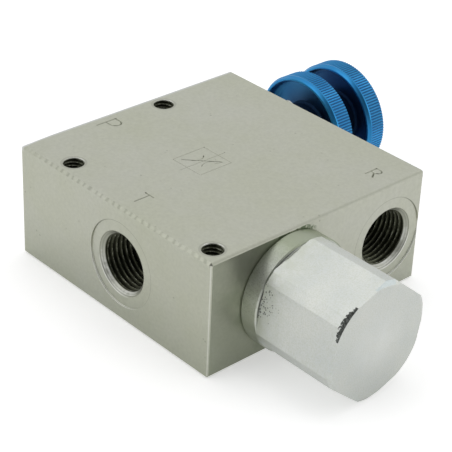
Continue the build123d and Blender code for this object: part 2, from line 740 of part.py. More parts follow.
def wheel(near, bore_radius, hub_start):
    """Wheel with a bevelled edge and a cup-shaped side towards the block, plain where knurled."""
    far = near + WHEEL_W
    outer = WHEEL_D / 2
    body = turned(
        [
            (near, 0),
            (near, WHEEL_LIP_D / 2),
            (near + WHEEL_BAND_W - WHEEL_BAND_BEVEL, outer),
            (far - WHEEL_FAR_CHAMFER, outer),
            (far, outer - WHEEL_FAR_CHAMFER),
            (far, 0),
        ]
    )
    recess = WHEEL_RECESS_D / 2
    floor = near + WHEEL_RECESS_DEPTH
    curve = WHEEL_RECESS_R
    hub = WHEEL_HUB_D / 2
    corner = (recess - curve + curve * math.sqrt(0.5), 0, floor - curve + curve * math.sqrt(0.5))
    pocket = [
        Line((hub, 0, near - OVER), (recess, 0, near - OVER)),
        Line((recess, 0, near - OVER), (recess, 0, floor - curve)),
        ThreePointArc((recess, 0, floor - curve), corner, (recess - curve, 0, floor)),
        Line((recess - curve, 0, floor), (hub, 0, floor)),
        Line((hub, 0, floor), (hub, 0, near - OVER)),
    ]
    body -= revolve(make_face(pocket), Axis.Z)
    body -= rod(hub + OVER, near - OVER, hub_start)
    return body - rod(bore_radius, near - OVER, far + OVER)


def lock_ring():
    """Inner wheel, threaded on the spindle, that jams against the bonnet's neck."""
    return WHEEL_FACE * wheel(
        LOCK_WHEEL_NEAR, SPINDLE_THREAD_D / 2 + THREAD_FIT, LOCK_WHEEL_NEAR
    )


def set_screw_way(diameter, start, end):
    """Radial round bar at the set screw's place in the hub of the outer wheel."""
    middle = (SPINDLE_KNOB_SEAT + SPINDLE_END) / 2
    turn = Pos(0, 0, middle) * Rot(0, 0, SET_SCREW_ANGLE) * Rot(0, 90, 0)
    return turn * rod(diameter / 2, start, end)


def adjusting_knob():
    """Outer wheel, fixed to the spindle by a set screw."""
    knob = wheel(KNOB_NEAR, SPINDLE_END_D / 2, SPINDLE_KNOB_SEAT)
    knob -= set_screw_way(SET_SCREW_D, 0, WHEEL_D)
    return WHEEL_FACE * knob


def knob_set_screw():
    """Socket set screw in the outer wheel's hub."""
    start = SPINDLE_END_D / 2
    end = start + SET_SCREW_L - SET_SCREW_SUNK
    screw = set_screw_way(SET_SCREW_D - 2 * THREAD_FIT, start, end)
    middle = (SPINDLE_KNOB_SEAT + SPINDLE_END) / 2
    turn = Pos(0, 0, middle) * Rot(0, 0, SET_SCREW_ANGLE) * Rot(0, 90, 0)
    key = turn * hex_bar(SET_SCREW_KEY_AF, end - SET_SCREW_KEY_L, end + OVER)
    return WHEEL_FACE * (screw - key)


def damping_orifice():
    """Slotted jet in the sensing line."""
    bottom = JET_BOTTOM_Y - BLOCK_Y / 2
    jet = tube(JET_D / 2 - THREAD_FIT, JET_HOLE_D / 2, bottom, bottom + JET_L)
    slot = Pos(0, 0, bottom + JET_L) * Box(JET_D * 2, JET_SLOT_W, 2 * JET_SLOT_DEPTH)
    return SENSE_FACE * (jet - slot)


def sense_plug():
    """Socket plug that closes the sensing line's drilling."""
    top = -SENSE_PLUG_SUNK
    plug = rod(SENSE_PLUG_D / 2 - THREAD_FIT, top, top - SENSE_PLUG_L)
    plug = chamfer(plug.edges(), SENSE_PLUG_CHAMFER)
    key = hex_bar(SENSE_PLUG_KEY_AF, top - SENSE_PLUG_KEY_L, top + OVER)
    return SENSE_FACE * (plug - key)


PIECES = [
    valve_body,
    compensator_cap,
    cap_o_ring,
    compensator_spool,
    compensator_spring,
    spring_seat,
    spring_shim,
    spool_stop_ring,
    throttle_bonnet,
    bonnet_o_ring,
    spindle_o_ring,
    spindle_backup_ring,
    metering_sleeve,
    sleeve_o_ring,
    guide_pin,
    metering_spool,
    throttle_spindle,
    spindle_stop_ring,
    lock_ring,
    adjusting_knob,
    knob_set_screw,
    damping_orifice,
    sense_plug,
]

os.makedirs("parts", exist_ok=True)
for piece in PIECES:
    solid = piece()
    export_step(solid, f"parts/{piece.__name__}.step")
    print(piece.__name__, round(solid.volume, 1))
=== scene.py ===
# %% [markdown]
# # A three-way flow control valve, finished in Blender
#
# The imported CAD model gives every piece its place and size. This lesson adds what CAD leaves
# out: real thread ridges, a fine knurl, stamped port letters, zinc plate, anodised aluminium,
# and the light tent the valve was photographed in. Everything is in metres, and the origin is
# the centre of the block's underside.

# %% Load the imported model
import json
import math

import bmesh
import bpy
import numpy as np
from mathutils import Matrix, Vector


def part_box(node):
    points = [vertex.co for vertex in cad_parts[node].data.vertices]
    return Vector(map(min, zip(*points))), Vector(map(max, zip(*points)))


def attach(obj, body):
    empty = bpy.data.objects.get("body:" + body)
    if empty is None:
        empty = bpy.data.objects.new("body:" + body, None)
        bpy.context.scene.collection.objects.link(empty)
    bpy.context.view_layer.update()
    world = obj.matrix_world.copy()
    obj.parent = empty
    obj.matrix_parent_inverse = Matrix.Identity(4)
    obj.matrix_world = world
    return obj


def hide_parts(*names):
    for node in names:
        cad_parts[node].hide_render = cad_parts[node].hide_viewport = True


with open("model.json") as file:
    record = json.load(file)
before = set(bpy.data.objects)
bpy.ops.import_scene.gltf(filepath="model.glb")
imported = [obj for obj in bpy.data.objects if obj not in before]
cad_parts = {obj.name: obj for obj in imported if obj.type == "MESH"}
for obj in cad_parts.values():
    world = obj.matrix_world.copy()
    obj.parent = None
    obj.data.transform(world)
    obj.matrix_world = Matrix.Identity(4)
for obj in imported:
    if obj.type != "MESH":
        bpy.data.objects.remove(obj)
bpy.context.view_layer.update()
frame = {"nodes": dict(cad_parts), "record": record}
MM = 0.001
print("nodes in the frame:", len(frame["nodes"]))

# %% [markdown]
# ## Surfaces worked out as grids
#
# Threads, knurls and wheels are all one kind of shape: a radius that depends on an angle and on
# a place along an axis. Modelling them with a spin tool and hand-cut grooves is slow and never
# quite even. A grid of points worked out with numpy is exact, and its formula can be read.


# %% Turn a grid of points into a mesh
def grid_quads(rows, columns, wrap_rows):
    """Four-cornered faces between neighbouring rows and columns. Columns always close on
    themselves, because they go round an axis; rows close only on a ring."""
    row, column = np.meshgrid(
        np.arange(rows if wrap_rows else rows - 1), np.arange(columns), indexing="ij"
    )
    next_row, next_column = (row + 1) % rows, (column + 1) % columns
    corners = [
        row * columns + column,
        row * columns + next_column,
        next_row * columns + next_column,
        next_row * columns + column,
    ]
    return np.stack(corners, axis=-1).reshape(-1, 4)


def mesh_piece(name, points, faces, crease_deg=35.0):
    """Make a closed mesh object from points and faces, facing outwards, smooth except where two
    faces meet at more than crease_deg."""
    mesh = bpy.data.meshes.new(name)
    mesh.from_pydata(np.reshape(points, (-1, 3)).tolist(), [], [list(face) for face in faces])
    cleaned = bmesh.new()
    cleaned.from_mesh(mesh)
    bmesh.ops.remove_doubles(cleaned, verts=cleaned.verts, dist=1e-7)
    bmesh.ops.recalc_face_normals(cleaned, faces=cleaned.faces)
    cleaned.to_mesh(mesh)
    cleaned.free()
    mesh.shade_smooth()
    mesh.set_sharp_from_angle(angle=math.radians(crease_deg))
    piece = bpy.data.objects.new(name, mesh)
    bpy.context.scene.collection.objects.link(piece)
    print(name, "faces:", len(mesh.polygons))
    return piece


# %% [markdown]
# A turned piece has its own axis. `around` carries radius, angle and height to the row frame: the
# point at radius r and angle a is r cos a along one side vector, r sin a along the other, and the
# height along the axis itself.


# %% Place turned grids on an axis
def side_vectors(axis):
    """Two unit vectors that stand square on the axis and on each other, right-handed."""
    axis = np.asarray(axis, dtype=float)
    helper = np.array([0.0, 0.0, 1.0]) if abs(axis[2]) < 0.9 else np.array([1.0, 0.0, 0.0])
    first = np.cross(helper, axis)
    first /= np.linalg.norm(first)
    return first, np.cross(axis, first)


def around(origin, axis, radius, angle, height):
    """Points at the given radius, angle and height round an axis, in metres."""
    first, second = side_vectors(axis)
    spokes = np.cos(angle)[..., None] * first + np.sin(angle)[..., None] * second
    return origin + radius[..., None] * spokes + height[..., None] * np.asarray(axis, float)


# %% [markdown]
# ## Thread ridges
#
# A screw thread is a groove that climbs one pitch in every turn. Its height at any point only
# depends on the phase, height / pitch - angle / full turn, so a triangle wave of the phase is the
# whole thread. Each tapped hole gets a thin lining whose inner wall carries that wave and whose
# countersink cuts the first ridges, as the real tool does.


# %% Thread wave
def thread_wave(height, angle, pitch):
    """0 at the thread's root and 1 at its crest: a triangle wave of the phase, with the top and
    bottom eighth cut flat."""
    phase = height / pitch - angle / (2 * np.pi)
    triangle = np.abs(2 * (phase - np.floor(phase)) - 1)
    return np.clip((triangle - 0.125) / 0.75, 0, 1)


def thread_lining(name, mouth, axis, major_r, depth, pitch, start, length, columns, lip):
    """Ring that lines a tapped hole. The inner radius is the major radius less the ridge, or the
    countersink's cone where that is wider; the outer radius is the hole's wall, and at the top
    the wall's own chamfer. Heights run down from `start` under the mouth. The grooves start
    where the cone ends, and the ridge fades out over the last pitch. `lip` is the cone's radius
    at the top, and the chamfer's size."""
    rows = int(length / pitch * THREAD_ROWS_PER_TURN)
    height = -np.linspace(start, start + length, rows)
    angle = np.linspace(0, 2 * np.pi, columns, endpoint=False)
    height, angle = np.meshgrid(height, angle, indexing="ij")
    fade = np.clip((height + start + length) / pitch, 0, 1)
    cone_r, chamfer = lip
    cone_end = cone_r - (major_r - depth)
    whole = np.clip((height + start + cone_end) / (0.15 * pitch) + 1, 0, 1)
    ridge = depth * fade * np.maximum(thread_wave(height, angle, pitch), whole)
    inner = np.maximum(major_r - LINING_GAP - ridge, cone_r + height + start)
    outer = np.full((3, columns), major_r)
    outer[2] += chamfer
    level = np.stack([height[-1], height[0] - chamfer, height[0]])
    points = np.concatenate(
        [around(mouth, axis, inner, angle, height), around(mouth, axis, outer, angle[:3], level)]
    )
    return mesh_piece(name, points, grid_quads(rows + 3, columns, True))


THREAD_ROWS_PER_TURN = 12
LINING_GAP = 0.02 * MM

# %% [markdown]
# The three ports are half-inch pipe threads, 14 to the inch, 0.4 mm below the face because of the
# seat that is cut round them. The three mounting holes are M8, tapped with hardly any countersink.

# %% Line the tapped holes
mounts = {mount["name"]: mount for mount in frame["record"]["mounts"]}
PIPE_PITCH = 25.4 / 14 * MM
PIPE_RIDGE = 1.16 * MM
PIPE_CHAMFER_END = 0.75 * MM
PIPE_WALL = 15.25 * MM
STUD_PITCH = 1.25 * MM
STUD_RIDGE = 0.68 * MM
STUD_TOP = 0.01 * MM
STUD_MOUTH_R = 3.52 * MM
STUD_CHAMFER = 0.24 * MM
STUD_WALL = 14.75 * MM
block_low, block_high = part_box("valve_body")


def mouth_of(mount):
    """Where a tapped hole's axis leaves the block."""
    place = np.array(mount["pos_m"], dtype=float)
    axis = np.array(mount["axis"], dtype=float)
    side = int(np.argmax(np.abs(axis)))
    place[side] = (block_high if axis[side] > 0 else block_low)[side]
    return place, axis


linings = []
for port_name in ("inlet_port", "tank_port", "regulated_port"):
    place, axis = mouth_of(mounts[port_name])
    radius = mounts[port_name]["dims"]["r_mm"] * MM
    linings.append(
        thread_lining(
            port_name + "_thread", place, axis, radius, PIPE_RIDGE, PIPE_PITCH,
            PIPE_CHAMFER_END, PIPE_WALL, 144, (radius - LINING_GAP, 0),
        )
    )
stud_linings = []
for stud_name in [name for name in mounts if name.startswith("mounting_thread")]:
    place, axis = mouth_of(mounts[stud_name])
    radius = mounts[stud_name]["dims"]["r_mm"] * MM
    stud_linings.append(
        thread_lining(
            stud_name + "_ridges", place, axis, radius, STUD_RIDGE, STUD_PITCH,
            STUD_TOP, STUD_WALL, 96, (STUD_MOUTH_R, STUD_CHAMFER),
        )
    )

# %% [markdown]
# ## The knurled wheels
#
# Both wheels are turned from bar: a plain lip and a shallow cup on the side towards the block, a
# straight knurl pressed over the rest of the rim, and a hub. The outline is one closed loop of
# points, and the knurl is a second triangle wave, this time of the angle alone, which only the
# rim's own rows take.

# %% Wheel outline and knurl
WHEEL_R = 19.75 * MM
LIP_R = 19.1 * MM
LIP_WIDTH = 1.1 * MM
BAND_WIDTH = 1.7 * MM
CUP_R = 18.2 * MM
CUP_DEPTH = 4.4 * MM
CUP_CURVE = 2.2 * MM
HUB_R = 9.0 * MM
FAR_EDGE = 0.5 * MM
KNURL_TEETH = 122
KNURL_DEPTH = 0.36 * MM
KNURL_COLUMNS_PER_TOOTH = 6


def arc_points(centre, radius, start_deg, end_deg, count):
    """Points of a round stretch of outline, as (radius, height) pairs."""
    turn = np.radians(np.linspace(start_deg, end_deg, count))
    return np.stack([centre[0] + radius * np.cos(turn), centre[1] + radius * np.sin(turn)], -1)


def wheel_outline(width, bore, hub_start):
    """Closed outline of a wheel as (radius, height above its near side), and a mask of the
    rows that take the knurl."""
    cup_corner = (CUP_R - CUP_CURVE, CUP_DEPTH - CUP_CURVE)
    near = [(bore, hub_start), (HUB_R - 0.4 * MM, hub_start), (HUB_R, hub_start + 0.4 * MM)]
    cup = [(HUB_R, CUP_DEPTH - 0.6 * MM), (HUB_R + 0.6 * MM, CUP_DEPTH)]
    floor = arc_points(cup_corner, CUP_CURVE, 90, 0, 9)
    lip = [(CUP_R, 0.25 * MM), (CUP_R + 0.25 * MM, 0), (LIP_R - 0.25 * MM, 0)]
    lip += [(LIP_R, 0.1 * MM), (WHEEL_R - 0.15 * MM, LIP_WIDTH), (WHEEL_R, LIP_WIDTH + 0.15 * MM)]
    lip += [(WHEEL_R, BAND_WIDTH)]
    rim = np.linspace(BAND_WIDTH + 0.05 * MM, width - FAR_EDGE, 6)
    rim = [(WHEEL_R, height) for height in rim]
    far = [(WHEEL_R - FAR_EDGE, width), (bore, width)]
    outline = np.array(near + cup + floor.tolist() + lip + rim + far)
    knurled = np.zeros(len(outline))
    first = len(near) + len(cup) + len(floor) + len(lip)
    knurled[first : first + len(rim)] = 1
    knurled[first + len(rim)] = 0.5
    return outline, knurled


def knurled_wheel(name, near_y, width, bore, hub_start, knurl_start):
    """Outline carried round the wheels' axis, its rim rows pulled in by the knurl's wave."""
    outline, knurled = wheel_outline(width, bore, hub_start)
    columns = KNURL_TEETH * KNURL_COLUMNS_PER_TOOTH
    angle = np.linspace(0, 2 * np.pi, columns, endpoint=False)[None, :]
    tooth = angle * KNURL_TEETH / (2 * np.pi) + knurl_start
    wave = np.abs(2 * (tooth - np.floor(tooth)) - 1)
    radius = outline[:, :1] - KNURL_DEPTH * knurled[:, None] * wave
    height = np.broadcast_to(outline[:, 1:], radius.shape)
    angle = np.broadcast_to(angle, radius.shape)
    centre = np.array([wheel_axis[0], near_y, wheel_axis[2]])
    points = around(centre, (0, 1, 0), radius, angle, height)
    return mesh_piece(name, points, grid_quads(*radius.shape, True), crease_deg=30)


# %% Build both wheels where the CAD wheels are
lock_low, lock_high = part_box("lock_ring")
knob_low, knob_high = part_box("adjusting_knob")
wheel_axis = (np.array(lock_low) + np.array(lock_high)) / 2
THREAD_BORE = 6.07 * MM
SEAT_BORE = 5.0 * MM
lock_wheel = knurled_wheel(
    "lock_wheel", lock_low[1], lock_high[1] - lock_low[1], THREAD_BORE, 0, 0.46
)
knob_wheel = knurled_wheel(
    "knob_wheel", knob_low[1], knob_high[1] - knob_low[1], SEAT_BORE, 0.8 * MM, 0.30
)

# %% [markdown]
# ## The spindle
#
# Between the two wheels the spindle's thread is open to view. Its outline follows the CAD
# spindle's steps, and the thread wave is taken off wherever the outline is at the thread's
# major radius. The ends close on the axis.

# %% Spindle with its thread cut
SPINDLE_PITCH = 1.25 * MM
SPINDLE_RIDGE = 0.7 * MM
SPINDLE_R = 6.0 * MM
SPINDLE_STEPS = np.array(
    [
        (-18.6, 0), (-18.6, 3.2), (-16.2, 3.2), (-16.2, 2.0), (-14.0, 2.0), (-14.0, 4.0),
        (-11.3, 4.0), (-11.3, 3.6), (-10.15, 3.6), (-10.15, 4.0), (7.0, 4.0), (7.0, 5.4),
        (7.6, 6.0), (30.4, 6.0), (31.0, 5.4), (31.0, 4.95), (37.0, 4.95), (37.6, 4.35),
        (37.6, 0),
    ]
) * MM


def spindle_grid(face_y):
    """Outline of (height, radius) steps carried round the wheels' axis. Along the threaded
    stretch it is sampled twelve times a pitch, and the ridge's wave is taken off."""
    rows = int((30.4 - 7.6) * MM / SPINDLE_PITCH * THREAD_ROWS_PER_TURN)
    screw = np.linspace(7.6 * MM, 30.4 * MM, rows)
    screw = np.stack([screw, np.full(rows, SPINDLE_R)], -1)
    before, after = SPINDLE_STEPS[:12], SPINDLE_STEPS[14:]
    outline = np.concatenate([before, screw, after])
    angle = np.linspace(0, 2 * np.pi, 72, endpoint=False)[None, :]
    height = np.broadcast_to(outline[:, :1], (len(outline), 72))
    angle = np.broadcast_to(angle, height.shape)
    threaded = np.zeros((len(outline), 1))
    threaded[len(before) : len(before) + rows] = 1
    fall = 1 - thread_wave(height, angle, SPINDLE_PITCH)
    radius = outline[:, 1:] - SPINDLE_RIDGE * threaded * fall
    centre = np.array([wheel_axis[0], face_y, wheel_axis[2]])
    return around(centre, (0, 1, 0), radius, angle, height)


spindle_points = spindle_grid(block_high[1])
spindle = mesh_piece(
    "threaded_spindle", spindle_points, grid_quads(*spindle_points.shape[:2], False)
)

# %% [markdown]
# ## The block, stamped
#
# The port letters are punched into the top: each stroke is a small V-shaped trough. A stroke is
# built as a solid, its triangular section carried along a flat path, and cut out of a copy of the
# CAD block with a Boolean. Painting the letters on would leave them flat under raking light.

# %% Punch strokes
LETTER_CUT = (0.72 * MM, 0.36 * MM)
SYMBOL_CUT = (0.40 * MM, 0.20 * MM)
STROKE_ABOVE = 0.3 * MM


def stroke(path, cut_width, cut_depth):
    """Closed trough along a flat path of (x, y) points: at each point the section's two upper
    corners lie half a width to either side, along the mean of the neighbouring normals, and its
    lower corner lies below the surface."""
    path = np.asarray(path, dtype=float)
    run = np.gradient(path, axis=0)
    run /= np.linalg.norm(run, axis=1, keepdims=True)
    side = np.stack([-run[:, 1], run[:, 0]], -1)
    spread = cut_width / 2 * (1 + STROKE_ABOVE / cut_depth)
    top, bottom = block_high[2] + STROKE_ABOVE, block_high[2] - cut_depth
    count = len(path)
    left = np.column_stack([path + spread * side, np.full(count, top)])
    right = np.column_stack([path - spread * side, np.full(count, top)])
    deep = np.column_stack([path, np.full(count, bottom)])
    points = np.stack([left, right, deep], axis=1)
    faces = grid_quads(count, 3, False).tolist()
    faces += [[0, 1, 2], [3 * count - 1, 3 * count - 2, 3 * count - 3]]
    return points.reshape(-1, 3), faces


def letter(strokes, corner, size):
    """Strokes drawn in a unit cell, moved to their corner on the block's top."""
    return [np.asarray(path) * size + np.asarray(corner) for path in strokes]


def bow(centre, radius, start_deg, end_deg, count=13):
    """Round stroke of a letter."""
    turn = np.radians(np.linspace(start_deg, end_deg, count))
    return np.stack([centre[0] + radius * np.cos(turn), centre[1] + radius * np.sin(turn)], -1)


def straight(start, end, count=4):
    """Straight stroke of a letter."""
    return np.linspace(start, end, count)


LETTER_T = [straight((0.33, 0), (0.33, 1)), straight((0, 1), (0.66, 1))]
LETTER_P = [
    straight((0, 0), (0, 1)),
    np.concatenate([[(0, 1)], bow((0.3, 0.75), 0.25, 90, -90), [(0, 0.5)]]),
]
LETTER_R = LETTER_P + [straight((0.25, 0.5), (0.6, 0))]
T_CORNER = np.array([2.5, -39.5]) * MM
P_CORNER = np.array([-41.4, -17.9]) * MM
R_CORNER = np.array([35.6, 28.2]) * MM
LETTER_SIZE = 6.2 * MM
P_SIZE = 8.0 * MM
R_SIZE = 5.4 * MM
stamps = letter(LETTER_T, T_CORNER, LETTER_SIZE)
stamps += letter(LETTER_P, P_CORNER, P_SIZE)
stamps += letter(LETTER_R, R_CORNER, R_SIZE)

# %% [markdown]
# In the middle of the top goes the plain circuit symbol of a flow control: a box with a flow line
# through it, two bows that pinch the line, and an arrow across them.

# %% Flow control symbol
SYMBOL_CENTRE = np.array([-2.0, -6.5]) * MM
SYMBOL_SIZE = 13.0 * MM
SYMBOL = [
    straight((-0.5, -0.5), (0.5, -0.5)),
    straight((0.5, -0.5), (0.5, 0.5)),
    straight((0.5, 0.5), (-0.5, 0.5)),
    straight((-0.5, 0.5), (-0.5, -0.5)),
    straight((0.02, -0.72), (0.02, 0.72)),
    bow((-0.34, 0.0), 0.26, -50, 50),
    bow((0.38, 0.0), 0.26, 130, 230),
    straight((-0.36, -0.36), (0.36, 0.36)),
    straight((0.36, 0.36), (0.14, 0.30)),
    straight((0.36, 0.36), (0.30, 0.14)),
]
symbol = letter(SYMBOL, SYMBOL_CENTRE, SYMBOL_SIZE)
print("stamped strokes:", len(stamps) + len(symbol))


# %% Cut the stamps out of a copy of the block
def merged_copy(node, name):
    """Copy of a CAD node with its loose triangles joined. The normals that came with the file
    are dropped, because they no longer fit once the mesh is cut."""
    mesh = frame["nodes"][node].data.copy()
    mesh.name = name
    if "custom_normal" in mesh.attributes:
        mesh.attributes.remove(mesh.attributes["custom_normal"])
    joined = bmesh.new()
    joined.from_mesh(mesh)
    bmesh.ops.remove_doubles(joined, verts=joined.verts, dist=1e-6)
    joined.to_mesh(mesh)
    joined.free()
    piece = bpy.data.objects.new(name, mesh)
    bpy.context.scene.collection.objects.link(piece)
    return piece


def cut_strokes(piece, paths, cut_width, cut_depth):
    """Subtract each stroke from the piece, one after the other, and apply the result."""
    for number, path in enumerate(paths):
        points, faces = stroke(path, cut_width, cut_depth)
        tool = mesh_piece(f"punch_{number}", points, faces)
        cut = piece.modifiers.new("punch", "BOOLEAN")
        cut.operation = "DIFFERENCE"
        cut.solver = "EXACT"
        cut.object = tool
        shape = bpy.context.evaluated_depsgraph_get()
        mesh = bpy.data.meshes.new_from_object(piece.evaluated_get(shape))
        piece.modifiers.clear()
        piece.data = mesh
        bpy.data.objects.remove(tool)


stamped_block = merged_copy("valve_body", "stamped_block")
cut_strokes(stamped_block, stamps, *LETTER_CUT)
cut_strokes(stamped_block, symbol, *SYMBOL_CUT)
stamped_block.data.shade_smooth()
stamped_block.data.set_sharp_from_angle(angle=math.radians(25))
print("stamped block faces:", len(stamped_block.data.polygons))

# %% [markdown]
# ## Shader building blocks
#
# Every metal here needs the same few effects: cloudy plate, fine grain, tool marks, and painted
# light and shade along edges. Each is a node group, made once, that puts out a value or a normal.
# The shader itself stays in its material.


# %% Small helpers for nodes
def add_node(tree, kind, properties=None, **inputs):
    """Add a node, set its properties, then fill or link its inputs. An input is named by its
    label with _ for a space, or by i and its number."""
    made = tree.nodes.new(kind)
    for key, value in (properties or {}).items():
        setattr(made, key, value)
    for key, value in inputs.items():
        numbered = key[0] == "i" and key[1:].isdigit()
        socket = made.inputs[int(key[1:]) if numbered else key.replace("_", " ")]
        if isinstance(value, bpy.types.NodeSocket):
            tree.links.new(value, socket)
        else:
            socket.default_value = value
    return made


def math_node(tree, operation, *values, clamp=False):
    """One sum, product or power of values or sockets."""
    filled = {f"i{number}": value for number, value in enumerate(values)}
    properties = {"operation": operation, "use_clamp": clamp}
    return add_node(tree, "ShaderNodeMath", properties, **filled).outputs[0]


def vector_node(tree, operation, *values):
    """One vector sum, product, length or the like."""
    filled = {f"i{number}": value for number, value in enumerate(values)}
    return add_node(tree, "ShaderNodeVectorMath", {"operation": operation}, **filled)


def map_range(tree, value, low, high, to_low=0.0, to_high=1.0):
    """Stretch low..high to to_low..to_high, clamped."""
    made = add_node(tree, "ShaderNodeMapRange", {"clamp": True}, Value=value)
    for key, bound in zip(("From Min", "From Max", "To Min", "To Max"), (low, high, to_low, to_high)):
        socket = made.inputs[key]
        if isinstance(bound, bpy.types.NodeSocket):
            tree.links.new(bound, socket)
        else:
            socket.default_value = bound
    return made.outputs["Result"]


def blend_color(tree, amount, first, second, blend="MIX"):
    """Mix two colours."""
    made = add_node(tree, "ShaderNodeMix", {"data_type": "RGBA", "blend_type": blend})
    for socket, value in zip((made.inputs[0], made.inputs[6], made.inputs[7]), (amount, first, second)):
        if isinstance(value, bpy.types.NodeSocket):
            tree.links.new(value, socket)
        else:
            socket.default_value = value
    return made.outputs[2]


def new_group(name, inputs, outputs):
    """Empty node group with the given sockets, and its input and output nodes."""
    tree = bpy.data.node_groups.new(name, "ShaderNodeTree")
    for label, kind, default in inputs:
        socket = tree.interface.new_socket(label, in_out="INPUT", socket_type="NodeSocket" + kind)
        socket.default_value = default
    for label, kind in outputs:
        tree.interface.new_socket(label, in_out="OUTPUT", socket_type="NodeSocket" + kind)
    return tree, tree.nodes.new("NodeGroupInput"), tree.nodes.new("NodeGroupOutput")


# %% [markdown]
# Cloudy plate: two sizes of soft noise added up, because plated and oiled steel is never one even
# tone. Grain: fine noise for the bump. Both read object coordinates, so they sit in the metal.


# %% Cloud and grain groups
def cloud_group():
    """Slow change of tone from 0 to 1: noise at the given size plus half as much at a sixth."""
    tree, entry, leave = new_group(
        "cloud", [("Position", "Vector", (0, 0, 0)), ("Size", "Float", 0.02)], [("Tone", "Float")]
    )
    scale = math_node(tree, "DIVIDE", 1.0, entry.outputs["Size"])
    wide = add_node(
        tree, "ShaderNodeTexNoise", None, Vector=entry.outputs["Position"], Scale=scale, Detail=3.0
    )
    finer = math_node(tree, "MULTIPLY", scale, 6.0)
    small = add_node(
        tree, "ShaderNodeTexNoise", None, Vector=entry.outputs["Position"], Scale=finer, Detail=2.0
    )
    half = math_node(tree, "MULTIPLY", small.outputs[0], 0.4)
    total = math_node(tree, "ADD", wide.outputs[0], half)
    tree.links.new(map_range(tree, total, 0.45, 0.95), leave.inputs["Tone"])
    return tree


def grain_group():
    """Fine bump for bead-blasted or plated metal: noise at the given grain size, with a
    direction in which it may be stretched into brushed lines."""
    tree, entry, leave = new_group(
        "grain",
        [
            ("Position", "Vector", (0, 0, 0)),
            ("Size", "Float", 0.0003),
            ("Stretch", "Vector", (1, 1, 1)),
            ("Distance", "Float", 0.00002),
        ],
        [("Normal", "Vector"), ("Height", "Float")],
    )
    squeezed = vector_node(
        tree, "MULTIPLY", entry.outputs["Position"], entry.outputs["Stretch"]
    ).outputs[0]
    scale = math_node(tree, "DIVIDE", 1.0, entry.outputs["Size"])
    noise = add_node(tree, "ShaderNodeTexNoise", None, Vector=squeezed, Scale=scale, Detail=4.0)
    bump = add_node(
        tree, "ShaderNodeBump", None, Strength=1.0, Distance=entry.outputs["Distance"],
        Height=noise.outputs[0],
    )
    tree.links.new(bump.outputs[0], leave.inputs["Normal"])
    tree.links.new(noise.outputs[0], leave.inputs["Height"])
    return tree


cloud = cloud_group()
grain = grain_group()


# %% [markdown]
# Painted light and shade, and some stains, sit at known places: in the thread's mouth, round the
# cap's groove, on a wheel's cup. A group turns a position into distance along an axis, distance
# from it, and angle round it, so that each of those places is a plain range of numbers.


# %% Turned frame and ranges
def turned_group():
    """Along: how far a point lies along the axis. Radius: how far from it. Angle: degrees from
    First towards Second."""
    tree, entry, leave = new_group(
        "turned frame",
        [
            ("Position", "Vector", (0, 0, 0)),
            ("Centre", "Vector", (0, 0, 0)),
            ("Axis", "Vector", (1, 0, 0)),
            ("First", "Vector", (0, 1, 0)),
            ("Second", "Vector", (0, 0, 1)),
        ],
        [("Along", "Float"), ("Radius", "Float"), ("Angle", "Float")],
    )
    local = vector_node(tree, "SUBTRACT", entry.outputs["Position"], entry.outputs["Centre"])
    local = local.outputs[0]
    along = vector_node(tree, "DOT_PRODUCT", local, entry.outputs["Axis"]).outputs["Value"]
    first = vector_node(tree, "DOT_PRODUCT", local, entry.outputs["First"]).outputs["Value"]
    second = vector_node(tree, "DOT_PRODUCT", local, entry.outputs["Second"]).outputs["Value"]
    flat = add_node(tree, "ShaderNodeCombineXYZ", None, X=first, Y=second).outputs[0]
    angle = math_node(tree, "DEGREES", math_node(tree, "ARCTAN2", second, first))
    tree.links.new(along, leave.inputs["Along"])
    tree.links.new(vector_node(tree, "LENGTH", flat).outputs["Value"], leave.inputs["Radius"])
    tree.links.new(angle, leave.inputs["Angle"])
    return tree


def within(tree, value, low, high, soft):
    """1 between low and high, falling to 0 over the soft width outside them."""
    rise = map_range(tree, value, low - soft, low)
    fall = map_range(tree, value, high, high + soft, 1, 0)
    return math_node(tree, "MULTIPLY", rise, fall)


def largest(tree, values):
    """The largest of several values."""
    total = values[0]
    for value in values[1:]:
        total = math_node(tree, "MAXIMUM", total, value)
    return total


def product(tree, *values):
    """All the values multiplied."""
    total = values[0]
    for value in values[1:]:
        total = math_node(tree, "MULTIPLY", total, value)
    return total


def noise_at(tree, place, size, detail=2.0):
    """Soft noise of about the given size, 0 to 1."""
    made = add_node(tree, "ShaderNodeTexNoise", None, Vector=place, Scale=1 / size, Detail=detail)
    return made.outputs[0]


turned = turned_group()


# %% [markdown]
# A tapped hole's countersink is a cone: at depth d under its start its radius is the major
# radius less d - start. Up is 1 on the side of the hole that Lift points to, and -1 opposite.


